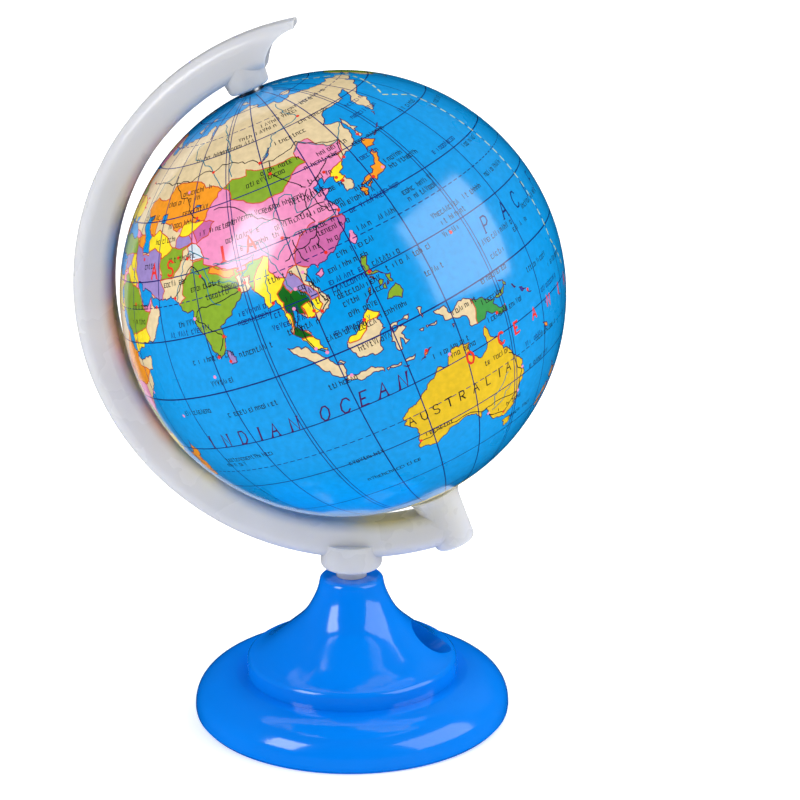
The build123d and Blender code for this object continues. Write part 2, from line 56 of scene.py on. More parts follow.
MAINLANDS = """
# eurasia
tan -9.4,38.7 -8.8,41.2 -9.2,43.1 -5.8,43.6 -1.8,43.4 -1.2,46 -4.6,48 -1.6,48.7 -1.7,49.7 1.5,50.2 3.5,51.4
  4.7,53 8,53.6 8.2,57 10.5,57.7 10.2,56.2 9.6,54.9 11,54 14.3,53.9 18.6,54.5 21,55.3 21.3,57.4 24.2,57.2
  23.6,59.2 28,59.5 30,60 25,60.2 22.8,59.9 21.3,61.5 24.5,64.9 22,65.8 17.3,62.3 17.5,60.6 18.8,59.8
  16.4,57 14.2,55.4 12.8,55.5 11,59 8,58.1 5.5,59 5.1,61.8 10,63.9 14.5,67.5 19,69.8 25.7,71.1 31,70.2
  33,69.3 41,67 38,66.2 33,66.6 34.8,64.4 38,64 40.5,64.7 40.2,66.2 44,66.2 44.2,68.3 46.5,67 53.5,68.3
  60.5,69 67,69.6 66.9,71.5 69.5,72.9 72.8,72 72.2,70 73.5,67.2 74.5,69.5 74.5,72.5 80.5,72.5 81,73.6
  87,75.1 98,76.3 104.2,77.7 107,76.8 113.5,75.8 113,73.8 119,73 127,73.2 129.5,71.2 133,71.5 139.5,72.4
  150,71.5 160,69.8 170,69 176,69.8 180,68.9 190.3,66.1 187,64.3 178.5,64.6 179.4,62.4 174,61.7 170.3,60
  163.3,58.2 163.2,56.2 160,53.2 156.7,51 155.6,54.5 155.6,56.8 161.9,60.4 163.7,62.4 160.3,61.7 155,59.4
  151,59.2 143,59.3 135.2,54.8 137.5,53.8 141.2,53.2 140.3,50.5 140.4,48.2 135.8,44.2 132,43.2 130.6,42.3
  129.7,41 127.5,39.8 128.4,38.5 129.4,37 129.3,35.4 126.3,34.5 126.5,36.5 126.7,37.6 125,37.8 125.3,39.5
  124.2,40 121.4,38.9 121.9,40.7 118,39.1 119,37.3 120.9,37.8 122.5,37.2 120.4,36 119.2,35 121.8,31.8
  120.8,30.3 122,29.4 119.6,26 118,24.5 115.5,22.7 113.5,22.2 110.4,21.2 109.9,20.4 109.5,21.6 108,21.6
  105.7,18.9 108.3,16 109.3,13.5 109.2,11.8 107.2,10.4 105,8.7 104.9,10.1 103.5,10.6 101,13.4 100,13.3
  99.2,9.8 100.3,8.4 102.2,6.2 103.4,4.8 103.5,2.6 104.2,1.4 101.3,2.9 100.4,5.5 98.4,7.9 98.5,10.5
  97.7,15.5 97,17.2 94.4,16 94.3,18.8 92.5,20.8 91.8,22.5 88.8,21.6 86.8,20 82.3,16.7 80.2,15.5 79.9,10.4
  78.2,8.7 77.6,8.1 76.3,9.9 74,15.5 72.8,19 72.7,21.2 70.9,20.7 69,22.3 68.2,23.7 66.6,25 61.6,25.1
  57.2,25.7 56.6,27.1 51.5,27.9 50,30.2 48,30 50.2,26.6 50.8,24.8 51.3,26.1 51.6,24.3 54,24.1 56.2,26.2
  56.6,24.3 59.8,22.5 57.7,18.9 52.2,15.6 48.7,14 45,12.8 43.4,12.7 42.6,16.8 39.1,21.4 35,28 34.9,29.4
  34.3,27.8 32.6,29.9 32.3,31.2 34.4,31.4 35.8,35.5 36.1,36.7 33.8,36.2 30.6,36.6 27.6,36.7 26.2,40 26,40.8
  22.9,40.5 23,39 24,38 23,36.5 21.7,36.9 19.4,41.8 15.2,44.2 13.7,45.4 12.3,45.3 12.6,44 15.5,42 18.5,40.2
  16.9,40.5 17,39 15.8,38 15.5,40 12.2,41.8 8.8,44.4 6,43.1 3.3,43.2 3.2,41.9 0.1,38.7 -0.7,37.6 -2,36.8
  -5.4,36.1 -8.9,37
# africa
tan 32.6,29.9 32.3,31.2 29,31.3 25,31.6 20,30.9 19,30.3 15.2,32.3 11,33.5 11,37 5,36.8 -2.2,35.1 -5.9,35.8
  -9.8,31.4 -13,27.8 -17,21 -17.4,14.8 -16.8,12.4 -13.7,9.5 -11.4,6.9 -7.7,4.4 -3,5.1 1.2,6 4.4,6.3 6,4.3
  8.5,4.6 9.8,3.5 8.9,-0.7 12.3,-6.1 13.7,-12.3 11.8,-16.5 14.5,-22.5 15,-26.5 18.3,-33.9 20,-34.8 25.7,-34
  31,-29.8 32.7,-25.8 35.5,-24 34.8,-19.8 40.6,-15 40.4,-11 38.8,-6 39.2,-4.7 41.5,-1.8 44.5,1.8 47.8,4.4
  51,10.4 51.3,11.8 43.3,11.5 43.2,12.6 39.4,15.5 37.3,19 35.5,23.8
# north_america
pink -168,65.6 -166,64.5 -161,64.6 -165.5,60.8 -162,58.7 -158,58.4 -162.5,55.2 -154,58.5 -151.5,59.3 -148,60
  -141,59.8 -136.5,58.2 -131,55 -128,51.5 -124,49.2 -124.6,48.3 -124.3,40.4 -122.5,37.5 -120.6,34.5
  -117.2,32.6 -114.9,27.8 -109.6,23 -110.5,25 -114.7,31.7 -112.3,28.8 -109.4,25.8 -105.7,22.4 -105.5,20.3
  -102,18 -96,15.8 -91.5,14 -87.6,13 -85.8,10.3 -83.5,8.6 -80.5,7.3 -79.5,8.9 -77.8,7.2 -77.3,8.6 -79.8,9.5
  -82,9 -83.7,11 -83.2,15 -88.8,15.9 -86.9,21.4 -90.3,21.1 -90.8,19 -94.5,18.2 -97.5,22 -97.5,25.5
  -94.8,29.2 -89.5,29.2 -84.2,30 -82.8,27.8 -81.2,25.2 -80.1,26.8 -81.4,30.7 -77.9,34 -75.6,35.3 -74,40.5
  -70,41.8 -70.6,43.3 -67,44.7 -64.5,45.3 -66,43.6 -61,45.3 -64.8,46.8 -65,48.3 -67.5,48.8 -65,50.2 -59,50.4
  -55.8,52.3 -60,55.3 -64.8,60.3 -69.5,58.9 -70,61 -77.6,62.4 -76.8,57 -79.5,54.8 -79,51.5 -82.2,52.9
  -82.3,55.2 -87.5,56 -92.5,57 -94.7,59.5 -93,62 -87,64.5 -86,66.5 -81.5,68 -85.5,69.8 -90,69 -94,71.9
  -96,68.2 -102,67.8 -115,68.3 -121,69.8 -135,69.4 -141,69.6 -150,70.5 -156.5,71.3 -163,69.6 -166.3,68.4
  -162,66.4
# south_america
green -77.3,8.6 -75.5,10.6 -71.7,12.3 -71.5,10.9 -68,11.5 -63,10.7 -60.5,9 -57.2,6 -52,4.6 -50.2,1 -50,-0.7
  -44.5,-2.7 -40,-2.9 -35.3,-5.3 -35,-8.5 -39,-13 -39.2,-17.5 -41,-22 -44.5,-23 -48.5,-26 -48.8,-28.6
  -52.3,-32.5 -54.5,-34.9 -58.4,-34 -57,-36.4 -59,-38.8 -62.2,-39 -65,-41 -63.7,-42.6 -67.5,-46 -65.8,-47.7
  -69,-50.7 -68.4,-52.5 -65.3,-54.7 -69,-55.5 -74,-52.5 -75.5,-48 -73.7,-39.5 -71.5,-32.5 -70.3,-26
  -70.3,-18.2 -76,-14 -79.5,-7.5 -81.3,-5 -80.2,-3.2 -80.8,-1.2 -79.8,0.8 -77.5,3 -77.8,7.2
# borneo
tan 109,1.5 109.2,-0.5 110.2,-2.9 114.5,-4 116.2,-3.6 117.5,0.8 118.8,1 117.8,3.8 119.2,5.2 116.8,7 115,5
  113,3.2 111.3,2.6 109.6,2
# new_guinea
tan 130.9,-0.8 134,-0.8 134.5,-2.9 137.8,-1.6 141,-2.6 144.5,-3.9 147.8,-6.1 147,-6.8 150.8,-10.5 148,-10.2
  146.5,-9 144.3,-7.7 143.2,-9.1 141,-9.1 138.5,-8.3 138.8,-7.3 135,-4.5 132.8,-4.1 132.8,-2.8 131.2,-1.5
# australia
gold 113.7,-22.6 113.4,-25 115.7,-31.8 115,-34.2 118,-35 123.5,-33.9 126,-32.3 131,-31.5 134.3,-33
  135.7,-34.9 137.8,-32.7 137.5,-35.2 138.5,-35 139.7,-36.9 140.6,-38 143.5,-38.8 146.4,-39.1 150,-37.4
  151.3,-33.5 153.1,-31 153.5,-28.2 153,-25.2 150.8,-23.4 149.2,-21.2 146.4,-19 145.4,-15 143.6,-14.2
  142.5,-10.7 141.6,-13.2 141,-16.5 139.3,-17.6 135.6,-15 136.8,-12.2 132.6,-11.3 130.8,-12.5 129.5,-14.9
  126.8,-13.9 123.8,-16.3 122.2,-18 119,-20 116,-20.8
# antarctica
yellow -180,-78 -165,-78.3 -150,-76.5 -135,-74.5 -120,-74 -102,-74 -90,-73 -78,-73 -68,-68 -58,-63.5 -61,-72
  -60,-75 -45,-78 -30,-76.3 -20,-73.5 -5,-70.7 10,-70 30,-69.3 50,-66.6 70,-68.5 75,-69.5 88,-66.8 100,-65.6
  115,-66.5 135,-66 145,-67 160,-69.5 170,-72 165,-77 180,-78 180,-90 -180,-90
"""

ISLANDS = """
tan 51.6,71.5 57.4,70.7 55.5,73.2 60,75 68.5,76.7 60,76.2 54,73.8
tan 14,77 18.5,76.7 25,79.8 16,80 11,79
tan 97,78.9 105,78.5 97,80.8 92,80
tan 137.5,75.5 143,73.5 150.5,75 142,76
tan 142,46 142.2,49 141.7,52 142.8,54.3 143.3,52 144.5,49 143,49 142.8,47.3 143.4,46.4
tan 155.6,50.8 156.2,50.3 154.8,49.3
tan 146.3,44.3 148.8,45.4 147.6,44.8
tan 149.8,46 152,47 150.4,46.4
orange 129.8,33 131,33.9 132,32.8 131,31.1 130.2,31.3
orange 132.4,33.3 134.4,34.3 134.2,33.5 133,32.8
orange 130.9,34.2 133,35.5 136,35.7 136.8,37.4 138.6,37.4 139.8,38.9 140,40.6 141.4,41.4 142,39.6 141,38.2
  140.8,35.7 139.8,35 138.3,34.6 136.9,34.5 135.8,33.5 135,34.6 132.5,34.2
orange 140,41.5 140.5,43.3 141.8,45.4 144,44 145.3,43.3 143.3,42 141,42.4
pink 120.2,23 121.5,25.2 121.9,25 120.9,22
pink 108.7,19.3 110.8,20.1 110.4,18.5 109.5,18.2
green 120.6,18.5 122.2,18.4 121.5,15.8 121.7,14.2 124.1,12.7 121.8,13.7 120.6,13.9 120,16
green 124.3,12.5 125.4,12.2 125.3,10.2 124.4,10.6
green 122,11.8 123.2,11.5 122.6,10.7 122,10.5
green 122.5,10.3 123.3,10.7 123.1,9.2 122.4,9.6
green 123.6,10 124,11 124.1,10.2
green 122,7 123.4,8.6 125.5,9.5 126.5,7.3 125.4,5.7 124,6.8 122.2,6.9
green 117.2,8.4 119.5,11.3 119.2,10.4 117.4,8.2
green 120.4,13.4 121.3,13.2 121.2,12.3
tan 95.3,5.6 97.6,5.2 100.4,2.6 103.5,0 106,-2.9 105.8,-5.8 104,-5.6 101.4,-2.8 98.7,1.7
tan 105.2,-6.7 106.8,-6 108.6,-6.6 110.9,-6.4 112.7,-6.9 114.5,-7.7 114.4,-8.7 110.5,-8.1 106.5,-7.4
tan 106,-1.7 106.8,-2.6 106.2,-2.9 105.2,-2.1
tan 119.8,0.7 120.8,1.3 125.2,1.6 124.3,0.4 120.3,0.5 120.1,-0.9 123.4,-0.9 121.7,-1.9 122.9,-4.2 121.6,-4.8
  121,-2.7 120.4,-5.6 119.5,-5.5 119.5,-3.4 118.8,-2.7 119.7,-0.5
tan 127.5,1.9 128.7,1.5 128.2,0 127.9,-0.8 127.6,0.8
tan 127.9,-3 130.8,-3.2 130.6,-3.8 128,-3.5
tan 126,-3.1 127.2,-3.2 126.8,-3.8
tan 115.1,-8.2 117,-8.2 119,-8.4 118,-9 115.3,-8.8
tan 119.9,-8.5 122.8,-8.1 122.5,-8.7 120.2,-8.9
tan 119,-9.5 120.5,-10 120,-10.3
tan 123.6,-10.3 125,-8.9 125,-9.6
orange 125,-8.9 127.2,-8.4 125,-9.6
tan 134.2,-5.8 134.7,-6 134.3,-6.9
green 148.3,-5.7 150.4,-5.4 152.2,-4.2 151.9,-5 150,-6.3
green 150.8,-2.6 153,-4.2 152.8,-4.7
green 154.7,-5.4 155.9,-6.7 155.2,-6.5
blueberry 157,-7.4 159.6,-8.7 158.2,-8.2
blueberry 159.7,-9.3 161.4,-10.4 160,-9.9
orange 164.2,-20.3 166.9,-22.3 165.4,-21.6
yellow 166.7,-14.8 167.4,-16.4 166.9,-15.9
pink 177.3,-17.6 178.6,-18 177.8,-18.3
gold 144.7,-40.8 148.3,-40.9 147.9,-43.2 146,-43.5
orange 172.7,-34.5 175.3,-36.8 178.5,-37.7 177,-39.6 175.2,-41.6 173.8,-39.3 174.6,-37.5
orange 172.7,-40.6 174.2,-41.7 171.3,-44.3 170.5,-46 168.3,-46.6 166.6,-45.9 170,-43
purple 79.9,9.7 81.8,7.6 81.2,6.2 80,6.2 79.8,8
orange 49.2,-12 50.3,-15.6 47.2,-25 45,-25.5 43.5,-22.5 44.4,-19.5 44.4,-16.3 47.5,-14.8
pink -45,60 -41.5,63 -38,65.7 -22.5,70.5 -20,74 -16,80.5 -28,83.3 -45,82.8 -60,82 -73,78.3 -68,76 -58,75.5
  -54.5,72 -51.5,69.5 -53.5,67 -51.5,64 -48,61
pink -24.3,65.5 -22,64 -18.7,63.5 -14.8,64.6 -16,66.4 -20.5,65.9
pink -5.7,50.1 1.3,51.2 1.6,52.7 0,53.5 -1.6,55 -3,56 -2,57.6 -5,58.5 -5.6,56.5 -5,54.8 -3,54 -4.6,53.2
  -4.8,51.8 -3,51.4
green -10,51.8 -6.3,52.3 -5.8,54.6 -8,55.3 -10,54
pink -64.5,63 -68,66 -62,67 -68,70 -78,72.7 -88,73.5 -85,70.2 -74,68 -72.5,65 -77,64.8 -71,62.3 -65.5,62
pink -80,76.2 -89,76.5 -95,79 -90,81.8 -70,83 -62,82.4 -75,79
pink -115,69 -102,69.5 -105,72.8 -117,73 -117,70.5
pink -124,71.5 -119,73.8 -124,74
pink -110,75 -98,74 -96,76.5 -108,76.5
pink -80.5,64 -84,63 -87,64 -85,66
pink -59.3,47.7 -53.5,46.7 -53,48.5 -56,51.5 -57.5,50
green -155.9,20.2 -155,19.4 -155.8,19
orange -84.8,21.9 -77.5,19.9 -74.3,20.2 -79,22.8 -82.5,23.1
yellow -74.3,18.4 -68.5,18.3 -70,19.8 -73.2,19.9
yellow 8.2,39 9.6,39.2 9.7,41 8.3,41
green 8.6,42.3 9.4,43 9.4,41.6
pink 12.5,37.8 15.5,38.2 15.1,36.8
green 23.6,35.4 26.2,35.2 24.8,35
yellow 32.4,35 34.4,35.6 33.6,34.7
"""

# Inland water, drawn in the colour of the sea.
LAKES = """
sea 29,41.2 31.4,41.4 35,42 38.3,41 41.6,41.6 41.2,42.7 38.5,44.3 37,45.2 39.2,47.2 35.3,46.4 35,45.3
  36.3,45.1 33.6,44.5 32.6,45.5 31,46.6 29.7,45.3 28.6,43.7 27.7,42.6 28.5,41.6
sea 49,46.5 53,46.8 51.2,44.9 51.2,43.2 54,41.3 53,40 53.9,37.2 49.5,37.4 49.2,38.8 50.2,40.3 47.5,43.2
  47.1,44.6
sea 58.4,44.2 60.8,44.2 61.5,46.6 58.7,46.2
sea 103.8,51.6 106.5,52.7 108.7,53.8 109.9,55.7 109.3,55.9 107.4,53.6 104.8,52.1
sea 73.8,45.4 76.5,46.8 79.2,46.5 76,46.3
sea 76.2,42.2 78.3,42.6 77.2,42.8
sea 30.8,60 32.9,61 31.2,61.6
sea 31.8,-0.6 34,0.2 33.8,-2 32,-2.4
sea 29.2,-3.6 30.3,-6.6 31,-8.7 29.4,-6.2
sea 34,-9.8 34.8,-12 34.8,-14.2 34.2,-12.2
sea -92,46.7 -88.5,48.5 -84.6,46.5 -88,46.7
sea -87.8,42 -86.3,42.5 -85,45.6 -87.6,44.6
sea -82.4,43.2 -80.2,44.6 -84,45.9 -83.3,44
sea -83,41.6 -78.9,42.8 -81,42.7
sea -79.7,43.3 -76.4,43.8 -79,43.8
sea -99,50.3 -96.4,50.6 -98.4,53.6
sea -116.5,61.2 -109.5,62.7 -114,62.4
sea -124.5,65.3 -118.3,66 -121.5,66.8
"""

